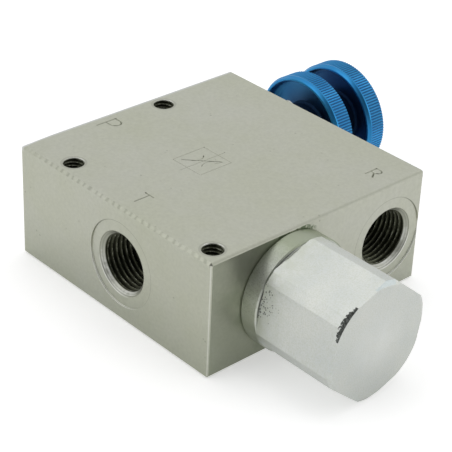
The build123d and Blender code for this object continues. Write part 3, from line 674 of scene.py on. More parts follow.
# %% Countersink group
def countersink_group():
    """1 on the cone that the countersink leaves on the first thread ridges, else 0."""
    tree, entry, leave = new_group(
        "countersink",
        [
            ("Position", "Vector", (0, 0, 0)),
            ("Mouth", "Vector", (0, 0, 0)),
            ("Axis", "Vector", (1, 0, 0)),
            ("Major", "Float", 0.01),
            ("Start", "Float", 0.0005),
            ("Ridge", "Float", 0.001),
            ("Lift", "Vector", (0, 0, 1)),
        ],
        [("Cone", "Float"), ("Radius", "Float"), ("Depth", "Float"), ("Up", "Float")],
    )
    read = entry.outputs
    local = vector_node(tree, "SUBTRACT", read["Position"], read["Mouth"]).outputs[0]
    along = vector_node(tree, "DOT_PRODUCT", local, read["Axis"]).outputs["Value"]
    depth = math_node(tree, "MULTIPLY", along, -1.0)
    scaled = add_node(tree, "ShaderNodeVectorMath", {"operation": "SCALE"}, i0=read["Axis"])
    tree.links.new(along, scaled.inputs["Scale"])
    across = vector_node(tree, "SUBTRACT", local, scaled.outputs[0]).outputs[0]
    radius = vector_node(tree, "LENGTH", across).outputs["Value"]
    below = math_node(tree, "SUBTRACT", depth, read["Start"])
    cone = math_node(tree, "SUBTRACT", read["Major"], below)
    miss = math_node(tree, "ABSOLUTE", math_node(tree, "SUBTRACT", radius, cone))
    near = map_range(tree, miss, 0.00014, 0.00007)
    deep = math_node(tree, "ADD", read["Ridge"], 0.0001)
    under = math_node(tree, "LESS_THAN", below, deep)
    over = math_node(tree, "GREATER_THAN", below, -0.0001)
    tree.links.new(product(tree, near, under, over), leave.inputs["Cone"])
    tree.links.new(radius, leave.inputs["Radius"])
    tree.links.new(depth, leave.inputs["Depth"])
    lift = vector_node(tree, "DOT_PRODUCT", across, read["Lift"]).outputs["Value"]
    tree.links.new(math_node(tree, "DIVIDE", lift, radius), leave.inputs["Up"])
    return tree


countersink = countersink_group()

# %% [markdown]
# An edge of a box is where two of its walls are near at once, so the larger of the two distances
# tells how far a point is from that edge.


# %% Edge group
def edge_group():
    """1 on the edge between two walls and 0 beyond the given width, from the distances to both."""
    tree, entry, leave = new_group(
        "edge line",
        [("First", "Float", 1), ("Second", "Float", 1), ("Width", "Float", 0.001)],
        [("Mask", "Float")],
    )
    read = entry.outputs
    far = math_node(tree, "MAXIMUM", read["First"], read["Second"])
    inner = math_node(tree, "MULTIPLY", read["Width"], 0.5)
    tree.links.new(map_range(tree, far, read["Width"], inner), leave.inputs["Mask"])
    return tree


edge_line = edge_group()
print("node groups:", [group.name for group in bpy.data.node_groups])


# %% Start a material
def use_group(tree, group, **inputs):
    """Place a node group in a material with its own values."""
    made = add_node(tree, "ShaderNodeGroup", {"node_tree": group}, **inputs)
    return made


def new_material(name):
    """Material with a Principled shader and object coordinates."""
    material = bpy.data.materials.new(name)
    material.use_nodes = True
    tree = material.node_tree
    shader = tree.nodes["Principled BSDF"]
    place = add_node(tree, "ShaderNodeTexCoord").outputs["Object"]
    return material, tree, shader, place


def put(material, *pieces):
    """Give pieces this material and nothing else."""
    for piece in pieces:
        piece.data.materials.clear()
        piece.data.materials.append(material)


# %% [markdown]
# ## Zinc plate
#
# The block is milled steel with a satin zinc plate: grey with a slight green cast and cloudy.
# Painted shade darkens the stamps, and painted shade with a painted reflection of the cap darkens
# the face round the cap, where oil also stains the collar's top. The block's colour is darker towards
# its foot, the edge over the tank port carries a row of small nicks, the seen edges carry painted
# highlights and a painted dark line, and the seats' rims carry a painted highlight on their lower side
# and painted shade on their upper side.

# %% Zinc on the block
ZINC_GREY = (0.550, 0.560, 0.485, 1)
ZINC_GREEN = (0.525, 0.540, 0.435, 1)
ZINC_BRIGHT = (0.86, 0.87, 0.81, 1)
# Pale colour of the painted highlights on the block's edges.
ZINC_EDGE_HIGHLIGHT = (0.72, 0.74, 0.745, 1)
ZINC_DARK = (0.20, 0.21, 0.16, 1)
ZINC_CONE = (0.43, 0.44, 0.37, 1)
# Colour of the oil at the collar and of the painted shade and reflection beside the cap.
OIL_STAIN_AND_SHADE = (0.19, 0.23, 0.155, 1)
SEAT_RING = (14.36 * MM, 14.62 * MM)
RIM_LINE = (10.55 * MM, 10.75 * MM)
NICK_PITCH = 2.8 * MM
PORT_NAMES = ("inlet_port", "tank_port", "regulated_port")
STUD_NAMES = tuple(name for name in mounts if name.startswith("mounting_thread"))
block_half = (Vector(block_high) - Vector(block_low)) / 2
block_centre = (Vector(block_high) + Vector(block_low)) / 2
cap_low, cap_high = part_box("compensator_cap")
cap_axis = (np.array(cap_low) + np.array(cap_high)) / 2
CAP_ROOT = (float(block_high[0]), float(cap_axis[1]), float(cap_axis[2]))
CAP_LENGTH = float(cap_high[0] - block_high[0])


def hole_frames(tree, place, names, start, ridge, lip=0.0, lift=(0, 0, 1)):
    """One countersink group for each named tapped hole; lip is how much smaller than the major
    radius the cone is at its start."""
    frames = []
    for name in names:
        mouth, axis = mouth_of(mounts[name])
        frames.append(
            use_group(
                tree, countersink, Position=place, Mouth=tuple(mouth), Axis=tuple(axis),
                Major=mounts[name]["dims"]["r_mm"] * MM - lip, Start=start, Ridge=ridge,
                Lift=lift,
            ).outputs
        )
    return frames


def wall_gaps(tree, local):
    """Distances to the block's six walls, by name."""
    low = vector_node(tree, "ADD", local, tuple(block_half)).outputs[0]
    high = vector_node(tree, "SUBTRACT", tuple(block_half), local).outputs[0]
    low = add_node(tree, "ShaderNodeSeparateXYZ", None, i0=low).outputs
    high = add_node(tree, "ShaderNodeSeparateXYZ", None, i0=high).outputs
    return {
        "inlet": low[0], "tank": low[1], "foot": low[2],
        "cap": high[0], "wheel": high[1], "top": high[2],
    }


def painted_stamp_shade(tree, gaps):
    """1 in the lower part of the stamped troughs, where shade is painted: under the top, away from the
    outer walls.
    """
    below = within(tree, gaps["top"], 0.00013, 0.0006, 0.00005)
    far = math_node(tree, "MINIMUM", gaps["inlet"], gaps["tank"])
    far_too = math_node(tree, "MINIMUM", gaps["cap"], gaps["wheel"])
    inside = math_node(tree, "GREATER_THAN", math_node(tree, "MINIMUM", far, far_too), 0.003)
    return math_node(tree, "MULTIPLY", below, inside)


def nicks(tree, gaps, place):
    """Row of nicks along the top edge over the tank port: a sine along X with a wandering phase,
    kept to a narrow band. Plus is dark and minus is bright."""
    reach = math_node(tree, "ADD", gaps["top"], gaps["tank"])
    band = map_range(tree, reach, 0.0010, 0.0006)
    fade = map_range(tree, noise_at(tree, place, 0.012), 0.35, 0.55, 0.25, 1.0)
    wander = math_node(tree, "MULTIPLY", noise_at(tree, place, 0.005), 7.0)
    turns = math_node(tree, "MULTIPLY", gaps["inlet"], 2 * math.pi / NICK_PITCH)
    wave = math_node(tree, "SINE", math_node(tree, "ADD", turns, wander))
    return product(tree, band, fade, wave)


SHINY_SIDE = (-0.5, 0.6, -0.85)


def ring_masks(tree, place):
    """Bright and dark parts of the three ports' rims: the lower side of each seat and mouth
    catches the light, the upper side is in shade, and a thin dark line runs round the mouth."""
    bright, dark = [], []
    frames = hole_frames(
        tree, place, PORT_NAMES, PIPE_CHAMFER_END, PIPE_RIDGE, lift=SHINY_SIDE
    )
    for port in frames:
        shallow = math_node(tree, "LESS_THAN", port["Depth"], 0.0011)
        seat = product(tree, shallow, within(tree, port["Radius"], *SEAT_RING, 0.00004))
        rim = product(tree, shallow, within(tree, port["Radius"], 0.01045, 0.0112, 0.0001))
        line = product(tree, shallow, within(tree, port["Radius"], *RIM_LINE, 0.00005), 0.55)
        bright.append(product(tree, seat, map_range(tree, port["Up"], 0.40, 0.80)))
        bright.append(product(tree, rim, map_range(tree, port["Up"], 0.6, 0.9, 0.0, 0.8)))
        dark.append(product(tree, seat, map_range(tree, port["Up"], 0.3, -0.3, 0.0, 0.6)))
        dark.append(line)
    return largest(tree, bright), largest(tree, dark)


def painted_edge_light(tree, color, gaps):
    """Painted highlights and painted shade on the block's seen edges: a pale highlight over the inlet
    port, a bright highlight at the corner between the tank port and the cap, and a thin painted dark
    line over the cap."""
    for first, second, width, amount, tone in (
        ("inlet", "top", 0.0019, 0.9, ZINC_EDGE_HIGHLIGHT),
        ("cap", "tank", 0.0006, 0.85, ZINC_BRIGHT),
        ("cap", "top", 0.0009, 0.32, ZINC_DARK),
        ("inlet", "tank", 0.0008, 0.20, ZINC_EDGE_HIGHLIGHT),
        ("wheel", "top", 0.0006, 0.20, ZINC_EDGE_HIGHLIGHT),
    ):
        edge = use_group(tree, edge_line, First=gaps[first], Second=gaps[second], Width=width)
        amount = math_node(tree, "MULTIPLY", edge.outputs["Mask"], amount)
        color = blend_color(tree, amount, color, tone)
    return color


def oil_and_painted_shade(tree, gaps, place):
    """Painted shade and a painted reflection of the cap on the block's face beside the cap, fading
    away from the collar in uneven patches, mostly on the side towards the tank port, and towards
    the corner over the tank port; a ring of oil at the collar's top; and darker towards the foot."""
    spot = use_group(tree, turned, Position=place, Centre=CAP_ROOT).outputs
    face = math_node(tree, "LESS_THAN", gaps["cap"], 0.00005)
    spread = map_range(tree, spot["Radius"], 0.0195, 0.036, 0.55, 0.05)
    patch = map_range(tree, noise_at(tree, place, 0.009), 0.35, 0.65, 0.35, 1.0)
    foot = map_range(tree, gaps["foot"], 0.0, 0.022, 0.20, 0.0)
    shade = map_range(tree, spot["Angle"], 60.0, 110.0)
    behind = math_node(tree, "LESS_THAN", spot["Angle"], -80.0)
    side = math_node(tree, "MAXIMUM", shade, behind)
    clot = product(
        tree, face, within(tree, spot["Radius"], 0.0190, 0.0202, 0.0004),
        within(tree, spot["Angle"], 62.0, 108.0, 6.0),
        map_range(tree, noise_at(tree, place, 0.0015), 0.40, 0.52),
    )
    # Painted shade towards the corner over the tank port, stronger near the foot.
    corner = product(tree, face, map_range(tree, gaps["tank"], 0.0, 0.036, 0.24, 0.12))
    corner = product(tree, corner, map_range(tree, gaps["foot"], 0.0, 0.030, 2.2, 0.5))
    corner = product(tree, corner, math_node(tree, "LESS_THAN", gaps["tank"], 0.036))
    return largest(tree, [product(tree, face, spread, patch, side), foot, clot, corner])


def block_zinc():
    """Satin zinc on milled faces, with specks, nicks and oil, and painted light and shade on its edges,
    rims, stamps and round the cap.
    """
    material, tree, shader, place = new_material("zinc_plate_block")
    local = vector_node(tree, "SUBTRACT", place, tuple(block_centre)).outputs[0]
    gaps = wall_gaps(tree, local)
    tone = use_group(tree, cloud, Position=place, Size=0.035).outputs["Tone"]
    color = blend_color(tree, tone, ZINC_GREY, ZINC_GREEN)
    mottle = map_range(tree, noise_at(tree, place, 0.0011, 3.0), 0.3, 0.7, 0.0, 0.13)
    color = blend_color(tree, mottle, color, ZINC_DARK)
    cell = add_node(tree, "ShaderNodeTexVoronoi", None, Vector=place, Scale=300.0)
    rare = map_range(tree, noise_at(tree, place, 0.010), 0.56, 0.66)
    speck = product(tree, map_range(tree, cell.outputs["Distance"], 0.13, 0.06), rare, 0.5)
    color = blend_color(tree, speck, color, ZINC_DARK)
    # Painted shade and a painted reflection of the cap beside it, oil at the collar, and darker towards
    # the foot.
    color = blend_color(tree, oil_and_painted_shade(tree, gaps, place), color, OIL_STAIN_AND_SHADE)
    # Painted highlights and a painted dark line along the block's seen edges.
    color = painted_edge_light(tree, color, gaps)
    nick = nicks(tree, gaps, place)
    dark = map_range(tree, nick, 0.0, 0.7, 0.0, 0.50)
    light = map_range(tree, nick, -0.1, -0.7, 0.0, 0.06)
    color = blend_color(tree, dark, color, ZINC_DARK)
    color = blend_color(tree, light, color, ZINC_BRIGHT)
    bright, shade = ring_masks(tree, place)
    color = blend_color(tree, bright, color, ZINC_BRIGHT)
    color = blend_color(tree, shade, color, ZINC_DARK)
    # Painted shade in the lower part of the stamped troughs.
    stamp_shade = math_node(tree, "MULTIPLY", painted_stamp_shade(tree, gaps), 0.65)
    color = blend_color(tree, stamp_shade, color, ZINC_DARK)
    tree.links.new(color, shader.inputs["Base Color"])
    tree.links.new(map_range(tree, tone, 0, 1, 0.31, 0.39), shader.inputs["Roughness"])
    tree.links.new(map_range(tree, bright, 0, 1, 0.9, 0.2), shader.inputs["Metallic"])
    fine = use_group(tree, grain, Position=place, Size=0.0005, Distance=0.00002)
    dent = math_node(tree, "SUBTRACT", 1.0, math_node(tree, "MAXIMUM", dark, speck))
    bump = add_node(
        tree, "ShaderNodeBump", None, Strength=1.0, Distance=0.00008, Height=dent,
        Normal=fine.outputs["Normal"],
    )
    tree.links.new(bump.outputs[0], shader.inputs["Normal"])
    return material


zinc_block = block_zinc()
put(zinc_block, stamped_block)

# %% [markdown]
# The cap was plated in another batch: bluer and paler, with a fine sparkle on the flats. Its
# collar is stained green-brown down to the block and painted darker olive on its upper side. The groove
# is painted dark as shade, darker on the shaded side. The bevel on the corner that faces the camera
# carries a painted dark reflection with a ragged, roughened edge, the next corner's bevel a pale blue
# painted reflection, and the end face a painted highlight round its centre.
# The flat beside the dark corner is pitted near the groove.

# %% Zinc on the cap
CAP_PALE = (0.690, 0.705, 0.670, 1)
CAP_BLUE = (0.635, 0.665, 0.650, 1)
CAP_STAIN = (0.52, 0.55, 0.46, 1)
CAP_GREEN = (0.54, 0.57, 0.48, 1)
CAP_OLIVE = (0.33, 0.37, 0.26, 1)
CAP_END_HIGHLIGHT = (0.80, 0.82, 0.80, 1)
CAP_DARK = (0.035, 0.037, 0.034, 1)
# Colour of the painted dark reflection on the corner bevel.
CAP_TORN_REFLECTION = (0.16, 0.175, 0.16, 1)
CAP_ICE_REFLECTION = (0.47, 0.57, 0.61, 1)
COLLAR_END = 6.5 * MM
GROOVE_END = 7.0 * MM
CORNER_DEG = 139.6


def end_lens(tree, spot, ragged, corner_deg, half_deg):
    """1 on the bevel that the turned end leaves on one corner of the hexagon, with an edge made
    ragged by noise."""
    start = math_node(tree, "ADD", spot["Along"], ragged)
    bevel = math_node(tree, "GREATER_THAN", start, CAP_LENGTH - 0.0009)
    outside = math_node(tree, "GREATER_THAN", spot["Radius"], 0.01842)
    turn = within(tree, spot["Angle"], corner_deg - half_deg, corner_deg + half_deg, 0.5)
    return product(tree, bevel, outside, turn)


def cap_zinc():
    """Pale zinc with a fine sparkle, the stains and pits of this cap, painted shade in its groove,
    painted reflections on two corner bevels and a painted highlight on its end.
    """
    material, tree, shader, place = new_material("zinc_plate_cap")
    spot = use_group(tree, turned, Position=place, Centre=CAP_ROOT).outputs
    along, radius = spot["Along"], spot["Radius"]
    tone = use_group(tree, cloud, Position=place, Size=0.012).outputs["Tone"]
    color = blend_color(tree, tone, CAP_PALE, CAP_BLUE)
    sparkle = noise_at(tree, place, 0.00045, 3.0)
    color = blend_color(tree, map_range(tree, sparkle, 0.4, 0.7, 0.0, 0.55), color, CAP_GREEN)
    drift = map_range(tree, noise_at(tree, place, 0.0035, 3.0), 0.35, 0.65)
    creep = product(tree, map_range(tree, along, GROOVE_END, 0.019, 0.6, 0.0), drift)
    color = blend_color(tree, creep, color, CAP_GREEN)
    shaded = within(tree, spot["Angle"], 110.0, 200.0, 12.0)
    collar = math_node(tree, "LESS_THAN", along, COLLAR_END)
    stained = blend_color(tree, map_range(tree, along, 0.0, 0.0045), CAP_STAIN, CAP_GREEN)
    film = map_range(tree, noise_at(tree, place, 0.004), 0.35, 0.65, 0.20, 0.75)
    color = blend_color(tree, math_node(tree, "MULTIPLY", collar, film), color, stained)
    # The collar's upper side is painted darker olive.
    top = math_node(tree, "MULTIPLY", within(tree, spot["Angle"], 40.0, 105.0, 30.0), 0.8)
    color = blend_color(tree, product(tree, collar, top), color, CAP_OLIVE)
    scuffed = product(tree, collar, shaded, map_range(tree, sparkle, 0.50, 0.62, 0.0, 0.14))
    color = blend_color(tree, scuffed, color, CAP_DARK)
    # The groove is painted dark as shade, darker on the shaded side.
    groove = within(tree, along, COLLAR_END + 0.0001, GROOVE_END - 0.0001, 0.00012)
    filled = map_range(tree, shaded, 0.0, 1.0, 0.25, 0.8)
    color = blend_color(tree, math_node(tree, "MULTIPLY", groove, filled), color, CAP_DARK)
    cell = add_node(tree, "ShaderNodeTexVoronoi", None, Vector=place, Scale=1250.0)
    pitted = product(
        tree, within(tree, spot["Angle"], 150.0, 176.0, 8.0),
        map_range(tree, along, 0.009, 0.0175, 1.0, 0.0),
        map_range(tree, along, COLLAR_END, GROOVE_END),
        map_range(tree, noise_at(tree, place, 0.0022, 3.0), 0.36, 0.55),
    )
    width = math_node(tree, "MULTIPLY", pitted, 0.40)
    pit = math_node(tree, "LESS_THAN", cell.outputs["Distance"], width)
    color = blend_color(tree, math_node(tree, "MULTIPLY", pit, 0.7), color, CAP_DARK)
    # Painted dark reflection on the bevel of the corner that faces the camera, its edge ragged,
    # roughened and bumped.
    ragged = math_node(tree, "SUBTRACT", noise_at(tree, place, 0.0009, 4.0), 0.5)
    torn_dark_reflection = end_lens(
        tree, spot, math_node(tree, "MULTIPLY", ragged, 0.0030), CORNER_DEG, 19.0
    )
    torn_reflection_tone = blend_color(
        tree, map_range(tree, noise_at(tree, place, 0.0006, 4.0), 0.42, 0.62), CAP_DARK, CAP_TORN_REFLECTION
    )
    color = blend_color(tree, math_node(tree, "MULTIPLY", torn_dark_reflection, 0.95), color, torn_reflection_tone)
    # Pale blue painted reflection on the bevel of the next corner.
    icy_reflection = end_lens(
        tree, spot, math_node(tree, "MULTIPLY", ragged, 0.0010), CORNER_DEG - 60 + 6, 12.0
    )
    color = blend_color(tree, math_node(tree, "MULTIPLY", icy_reflection, 0.4), color, CAP_ICE_REFLECTION)
    # Painted highlight round the centre of the end face.
    end = math_node(tree, "GREATER_THAN", along, CAP_LENGTH - 0.00005)
    glow = map_range(tree, radius, 0.002, 0.012, 0.55, 0.0)
    highlight_swirl = map_range(tree, noise_at(tree, place, 0.006), 0.35, 0.65, 0.4, 1.0)
    color = blend_color(tree, product(tree, end, glow, highlight_swirl), color, CAP_END_HIGHLIGHT)
    tree.links.new(color, shader.inputs["Base Color"])
    rough = map_range(tree, tone, 0, 1, 0.32, 0.42)
    rough = math_node(tree, "ADD", rough, math_node(tree, "MULTIPLY", torn_dark_reflection, 0.3))
    tree.links.new(rough, shader.inputs["Roughness"])
    shader.inputs["Metallic"].default_value = 0.9
    fine = use_group(tree, grain, Position=place, Size=0.0004, Distance=0.000035)
    hollow = math_node(tree, "SUBTRACT", 1.0, math_node(tree, "MAXIMUM", pit, torn_dark_reflection))
    tear = product(tree, torn_dark_reflection, noise_at(tree, place, 0.0005, 4.0))
    height = math_node(tree, "ADD", hollow, tear)
    bump = add_node(
        tree, "ShaderNodeBump", None, Strength=1.0, Distance=0.00025, Height=height,
        Normal=fine.outputs["Normal"],
    )
    tree.links.new(bump.outputs[0], shader.inputs["Normal"])
    return material


zinc_cap = cap_zinc()
nodes = frame["nodes"]
put(zinc_cap, nodes["compensator_cap"])

# %% [markdown]
# Inside the tapped holes the plate is thin and oily, a dark olive that is also painted dark for the
# shade deep in the bore, with a painted shine on the crests that noise breaks up. The cone at the mouth
# is plated, with a painted highlight on one side.

# %% Oily steel in the threads
# Oily steel, its colours painted darker for the shade deep in the bore.
OIL_DARK_AND_SHADE = (0.060, 0.065, 0.038, 1)
OIL_GREY_AND_SHADE = (0.105, 0.110, 0.074, 1)
# Colour of the painted shine on the crests.
OIL_SHINE = (0.42, 0.43, 0.36, 1)


def plain_metal(name, first, second, roughness, metallic, size, bump):
    """Metal with two tones in soft clouds and a fine grain."""
    material, tree, shader, place = new_material(name)
    tone = use_group(tree, cloud, Position=place, Size=size).outputs["Tone"]
    tree.links.new(blend_color(tree, tone, first, second), shader.inputs["Base Color"])
    rough = map_range(tree, tone, 0, 1, roughness - 0.05, roughness + 0.06)
    tree.links.new(rough, shader.inputs["Roughness"])
    shader.inputs["Metallic"].default_value = metallic
    fine = use_group(tree, grain, Position=place, Size=size / 8, Distance=bump)
    tree.links.new(fine.outputs["Normal"], shader.inputs["Normal"])
    return material


def oily_thread(name, holes, start, ridge, lip, major_r, shiny_side):
    """Oily dark ridges, painted darker for the shade deep in the bore, with a painted shine on their
    crests that noise breaks up, below a countersink that is plated, with a painted highlight in streaks
    on the side that shiny_side points to. The flat ring beside the mouth is plated like the block."""
    material, tree, shader, place = new_material(name)
    tone = use_group(tree, cloud, Position=place, Size=0.003).outputs["Tone"]
    color = blend_color(tree, tone, OIL_DARK_AND_SHADE, OIL_GREY_AND_SHADE)
    frames = hole_frames(tree, place, holes, start, ridge, lip, shiny_side)
    broken = map_range(tree, noise_at(tree, place, 0.0007, 4.0), 0.50, 0.60, 0.0, 0.5)
    # Painted shine on each hole's crests, broken up by noise.
    for hole in frames:
        crest = map_range(
            tree, hole["Radius"], major_r - ridge + 0.00016, major_r - ridge + 0.00006
        )
        color = blend_color(tree, product(tree, crest, broken), color, OIL_SHINE)
    cones = [hole["Cone"] for hole in frames]
    shiny = [
        product(tree, hole["Cone"], map_range(tree, hole["Up"], 0.25, 0.8)) for hole in frames
    ]
    flat = [math_node(tree, "LESS_THAN", hole["Depth"], start + 0.00003) for hole in frames]
    cone = largest(tree, cones + flat)
    color = blend_color(tree, cone, color, ZINC_CONE)
    mark = [within(tree, hole["Depth"], start + 0.00028, start + 0.00042, 0.0001) for hole in frames]
    mark = math_node(tree, "MULTIPLY", largest(tree, mark), 0.30)
    # The inner end of each cone is painted as dark as the threads.
    inner = [map_range(tree, hole["Depth"], start + 0.00085, start + 0.00100) for hole in frames]
    inner = math_node(tree, "MULTIPLY", cone, product(tree, *inner))
    # Painted highlight in streaks on the side of each cone that shiny_side points to.
    streak = map_range(tree, noise_at(tree, place, 0.0028), 0.42, 0.58, 0.35, 1.0)
    shine = math_node(tree, "MULTIPLY", largest(tree, shiny), streak)
    color = blend_color(tree, shine, color, ZINC_BRIGHT)
    color = blend_color(tree, mark, color, ZINC_DARK)
    color = blend_color(tree, inner, color, OIL_DARK_AND_SHADE)
    tree.links.new(color, shader.inputs["Base Color"])
    shader.inputs["Roughness"].default_value = 0.38
    tree.links.new(map_range(tree, shine, 0, 1, 0.8, 0.1), shader.inputs["Metallic"])
    fine = use_group(tree, grain, Position=place, Size=0.0005, Distance=0.00002)
    tree.links.new(fine.outputs["Normal"], shader.inputs["Normal"])
    return material


PIPE_R = mounts["tank_port"]["dims"]["r_mm"] * MM
STUD_R = mounts[STUD_NAMES[0]]["dims"]["r_mm"] * MM
port_oil = oily_thread(
    "oily_port", PORT_NAMES, PIPE_CHAMFER_END, PIPE_RIDGE, 0.0, PIPE_R, SHINY_SIDE
)
stud_oil = oily_thread(
    "oily_stud", STUD_NAMES, STUD_TOP, STUD_RIDGE, STUD_R - STUD_MOUTH_R, STUD_R, (-0.7, 0.7, 0)
)
put(port_oil, *linings)
put(stud_oil, *stud_linings)
bonnet_zinc = plain_metal(
    "turned_zinc", (0.78, 0.79, 0.75, 1), (0.66, 0.68, 0.62, 1), 0.34, 0.9, 0.004, 0.00002
)
put(bonnet_zinc, nodes["throttle_bonnet"])

# %% [markdown]
# ## Blue anodised wheels
#
# Anodising is a dyed oxide over aluminium: the metal's reflection comes back blue, under a thin
# clear skin.

# %% Anodised blue
ANODISED_BLUE = (0.042, 0.290, 0.600, 1)
ANODISED_DEEP = (0.030, 0.240, 0.560, 1)
# Colour of the painted shade in the knurl's valleys and in the cups.
ANODISED_SHADE = (0.022, 0.050, 0.115, 1)
CUP_FLOOR_DEPTH = 4.7 * MM
WHEEL_CENTRE = (float(wheel_axis[0]), float(block_high[1]), float(wheel_axis[2]))


def anodised(name, near, hub_shade, lip_shade):
    """Blue dyed oxide on turned aluminium. The valleys of the knurl and the cup get painted shade:
    the cup's shade runs from hub_shade at the hub to lip_shade at its rim."""
    material, tree, shader, place = new_material(name)
    spot = use_group(
        tree, turned, Position=place, Centre=WHEEL_CENTRE, Axis=(0, 1, 0), First=(0, 0, 1),
        Second=(1, 0, 0),
    ).outputs
    tone = use_group(tree, cloud, Position=place, Size=0.006).outputs["Tone"]
    color = blend_color(tree, tone, ANODISED_BLUE, ANODISED_DEEP)
    crest = map_range(tree, spot["Radius"], WHEEL_R - 0.9 * KNURL_DEPTH, WHEEL_R - 0.2 * KNURL_DEPTH)
    on_rim = math_node(tree, "GREATER_THAN", spot["Radius"], WHEEL_R - 1.1 * KNURL_DEPTH)
    on_band = math_node(tree, "GREATER_THAN", spot["Along"], near + BAND_WIDTH)
    valley = product(tree, on_rim, on_band, math_node(tree, "SUBTRACT", 1.0, crest))
    # Painted shade in the knurl's valleys.
    color = blend_color(tree, math_node(tree, "MULTIPLY", valley, 0.75), color, ANODISED_SHADE)
    # Painted shade in the cup, darker towards the hub.
    inside = math_node(tree, "LESS_THAN", spot["Radius"], CUP_R + 0.05 * MM)
    facing = math_node(tree, "LESS_THAN", spot["Along"], near + CUP_FLOOR_DEPTH)
    shade = map_range(tree, spot["Radius"], HUB_R, CUP_R, hub_shade, lip_shade)
    color = blend_color(tree, product(tree, inside, facing, shade), color, ANODISED_SHADE)
    tree.links.new(color, shader.inputs["Base Color"])
    hub = math_node(tree, "LESS_THAN", spot["Radius"], HUB_R + 1.0 * MM)
    rough = math_node(tree, "ADD", map_range(tree, tone, 0, 1, 0.30, 0.38), product(tree, hub, 0.4))
    tree.links.new(rough, shader.inputs["Roughness"])
    shader.inputs["Metallic"].default_value = 0.95
    fine = use_group(tree, grain, Position=place, Size=0.0004, Distance=0.000004)
    tree.links.new(fine.outputs["Normal"], shader.inputs["Normal"])
    return material


LOCK_NEAR = float(lock_low[1] - block_high[1])
KNOB_NEAR = float(knob_low[1] - block_high[1])
put(anodised("blue_anodised_lock", LOCK_NEAR, 0.97, 0.42), lock_wheel)
put(anodised("blue_anodised_knob", KNOB_NEAR, 0.97, 0.80), knob_wheel)

# %% Steels, rubber, plastic and brass for the inner pieces
ground_steel = plain_metal(
    "ground_steel", (0.55, 0.56, 0.57, 1), (0.42, 0.43, 0.44, 1), 0.25, 1.0, 0.004, 0.000008
)
turned_steel = plain_metal(
    "turned_steel", (0.56, 0.56, 0.55, 1), (0.44, 0.44, 0.43, 1), 0.34, 0.95, 0.004, 0.00002
)
spring_steel = plain_metal(
    "spring_steel", (0.16, 0.16, 0.17, 1), (0.09, 0.09, 0.095, 1), 0.36, 0.9, 0.003, 0.00001
)
black_steel = plain_metal(
    "black_steel", (0.035, 0.035, 0.037, 1), (0.02, 0.02, 0.022, 1), 0.42, 0.7, 0.002, 0.00001
)
brass = plain_metal("brass", (0.60, 0.42, 0.16, 1), (0.50, 0.34, 0.13, 1), 0.3, 1.0, 0.003, 0.00001)
rubber = plain_metal(
    "nitrile_rubber", (0.018, 0.018, 0.018, 1), (0.028, 0.028, 0.027, 1), 0.55, 0.0, 0.004, 0.00002
)
fluoroplastic = plain_metal(
    "fluoroplastic", (0.75, 0.75, 0.72, 1), (0.68, 0.68, 0.65, 1), 0.45, 0.0, 0.004, 0.00001
)
FINISH = {
    "cap_o_ring": rubber,
    "bonnet_o_ring": rubber,
    "spindle_o_ring": rubber,
    "sleeve_o_ring": rubber,
    "spindle_backup_ring": fluoroplastic,
    "compensator_spool": ground_steel,
    "metering_sleeve": ground_steel,
    "metering_spool": ground_steel,
    "guide_pin": ground_steel,
    "compensator_spring": spring_steel,
    "spool_stop_ring": spring_steel,
    "spindle_stop_ring": spring_steel,
    "spring_seat": turned_steel,
    "spring_shim": turned_steel,
    "knob_set_screw": black_steel,
    "sense_plug": black_steel,
    "damping_orifice": brass,
}
for node_name, material in FINISH.items():
    put(material, nodes[node_name])
put(turned_steel, spindle)
print("nodes with a finish:", len(FINISH))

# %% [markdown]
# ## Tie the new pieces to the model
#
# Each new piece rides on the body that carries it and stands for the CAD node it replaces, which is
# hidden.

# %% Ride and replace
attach(stamped_block, "block")
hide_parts("valve_body")
for lining in linings + stud_linings:
    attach(lining, "block")
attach(lock_wheel, "lock")
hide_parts("lock_ring")
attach(knob_wheel, "knob")
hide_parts("adjusting_knob")
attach(spindle, "knob")
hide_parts("throttle_spindle")

# %% [markdown]
# ## The light tent
#
# The valve stands in a white tent that is open towards the camera. The tent's walls light both
# sides softly, and the dark room behind the camera shows up in every surface that faces it.
# That is what models the shape of satin metal, so the world is white all round with a dark patch
# in the camera's direction.

# %% Camera
CAMERA_PLACE = Vector((0.33026, -0.30731, 0.28395))
VIEW_DIRECTION = Vector((-0.62566, 0.58813, -0.51250))
CAMERA_ROLL = math.radians(2.534)
LENS_MM = 129.02
camera_data = bpy.data.cameras.new("camera")
camera_data.lens = LENS_MM
camera_data.sensor_width = 36
camera_data.sensor_fit = "HORIZONTAL"
camera_data.dof.use_dof = False
camera = bpy.data.objects.new("camera", camera_data)
turn = VIEW_DIRECTION.to_track_quat("-Z", "Y").to_matrix().to_4x4()
camera.matrix_world = (
    Matrix.Translation(CAMERA_PLACE) @ turn @ Matrix.Rotation(CAMERA_ROLL, 4, "Z")
)
bpy.context.scene.collection.objects.link(camera)
bpy.context.scene.camera = camera

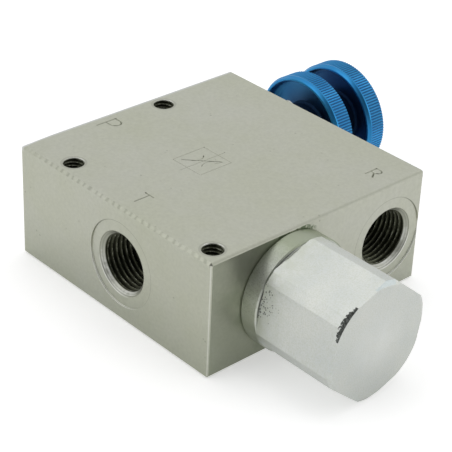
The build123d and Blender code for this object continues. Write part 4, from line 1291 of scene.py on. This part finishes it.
# %% World: white tent, dark behind the camera
TENT_LEVEL = 0.82
ROOM_LEVEL = 0.12
world = bpy.data.worlds.new("tent")
bpy.context.scene.world = world
world.use_nodes = True
sky = world.node_tree
direction = add_node(sky, "ShaderNodeTexCoord").outputs["Generated"]
facing = vector_node(sky, "DOT_PRODUCT", direction, tuple(-VIEW_DIRECTION)).outputs["Value"]
level = map_range(sky, facing, 0.55, 0.92, TENT_LEVEL, ROOM_LEVEL)
rays = add_node(sky, "ShaderNodeLightPath").outputs
seen = rays["Is Camera Ray"]
strength = math_node(
    sky, "ADD", math_node(sky, "MULTIPLY", level, math_node(sky, "SUBTRACT", 1.0, seen)), seen
)
background = sky.nodes["Background"]
background.inputs["Color"].default_value = (1, 1, 1, 1)
sky.links.new(strength, background.inputs["Strength"])


# %% Lamps
def softbox(name, place, aim, size, watts):
    """Square area lamp that looks at a point."""
    data = bpy.data.lights.new(name, "AREA")
    data.size = size
    data.energy = watts
    lamp = bpy.data.objects.new(name, data)
    lamp.location = place
    lamp.rotation_euler = (Vector(aim) - Vector(place)).to_track_quat("-Z", "Y").to_euler()
    bpy.context.scene.collection.objects.link(lamp)
    return lamp


softbox("left_softbox", (-0.35, -0.85, 0.75), (0, 0, 0.02), 0.7, 0.8)
softbox("top_softbox", (-0.1, 0.1, 1.1), (0, 0, 0.02), 0.9, 1.6)
softbox("right_softbox", (0.75, 0.75, 0.35), (0.03, 0.02, 0.02), 0.5, 0.6)

# %% Floor
FLOOR_HALF = 1.6
FLOOR_LIFT = 0.235
FLOOR_WHITE = 0.46
floor_mesh = bpy.data.meshes.new("floor")
corners = [(-FLOOR_HALF, -FLOOR_HALF, 0), (FLOOR_HALF, -FLOOR_HALF, 0)]
corners += [(FLOOR_HALF, FLOOR_HALF, 0), (-FLOOR_HALF, FLOOR_HALF, 0)]
floor_mesh.from_pydata(corners, [], [(0, 1, 2, 3)])
floor = bpy.data.objects.new("floor", floor_mesh)
bpy.context.scene.collection.objects.link(floor)
paper = bpy.data.materials.new("white_paper")
paper.use_nodes = True
tree = paper.node_tree
tree.nodes.clear()
matte = add_node(tree, "ShaderNodeBsdfDiffuse", None, Color=(0.86, 0.86, 0.86, 1))
camera_ray = add_node(tree, "ShaderNodeLightPath").outputs["Is Camera Ray"]
glow = add_node(
    tree, "ShaderNodeEmission", None,
    Strength=map_range(tree, camera_ray, 0, 1, FLOOR_LIFT, FLOOR_WHITE),
)
both = add_node(tree, "ShaderNodeAddShader", None, i0=matte.outputs[0], i1=glow.outputs[0])
add_node(tree, "ShaderNodeOutputMaterial", None, Surface=both.outputs[0])
put(paper, floor)

# %% Finish
bpy.context.scene.view_settings.view_transform = "Standard"
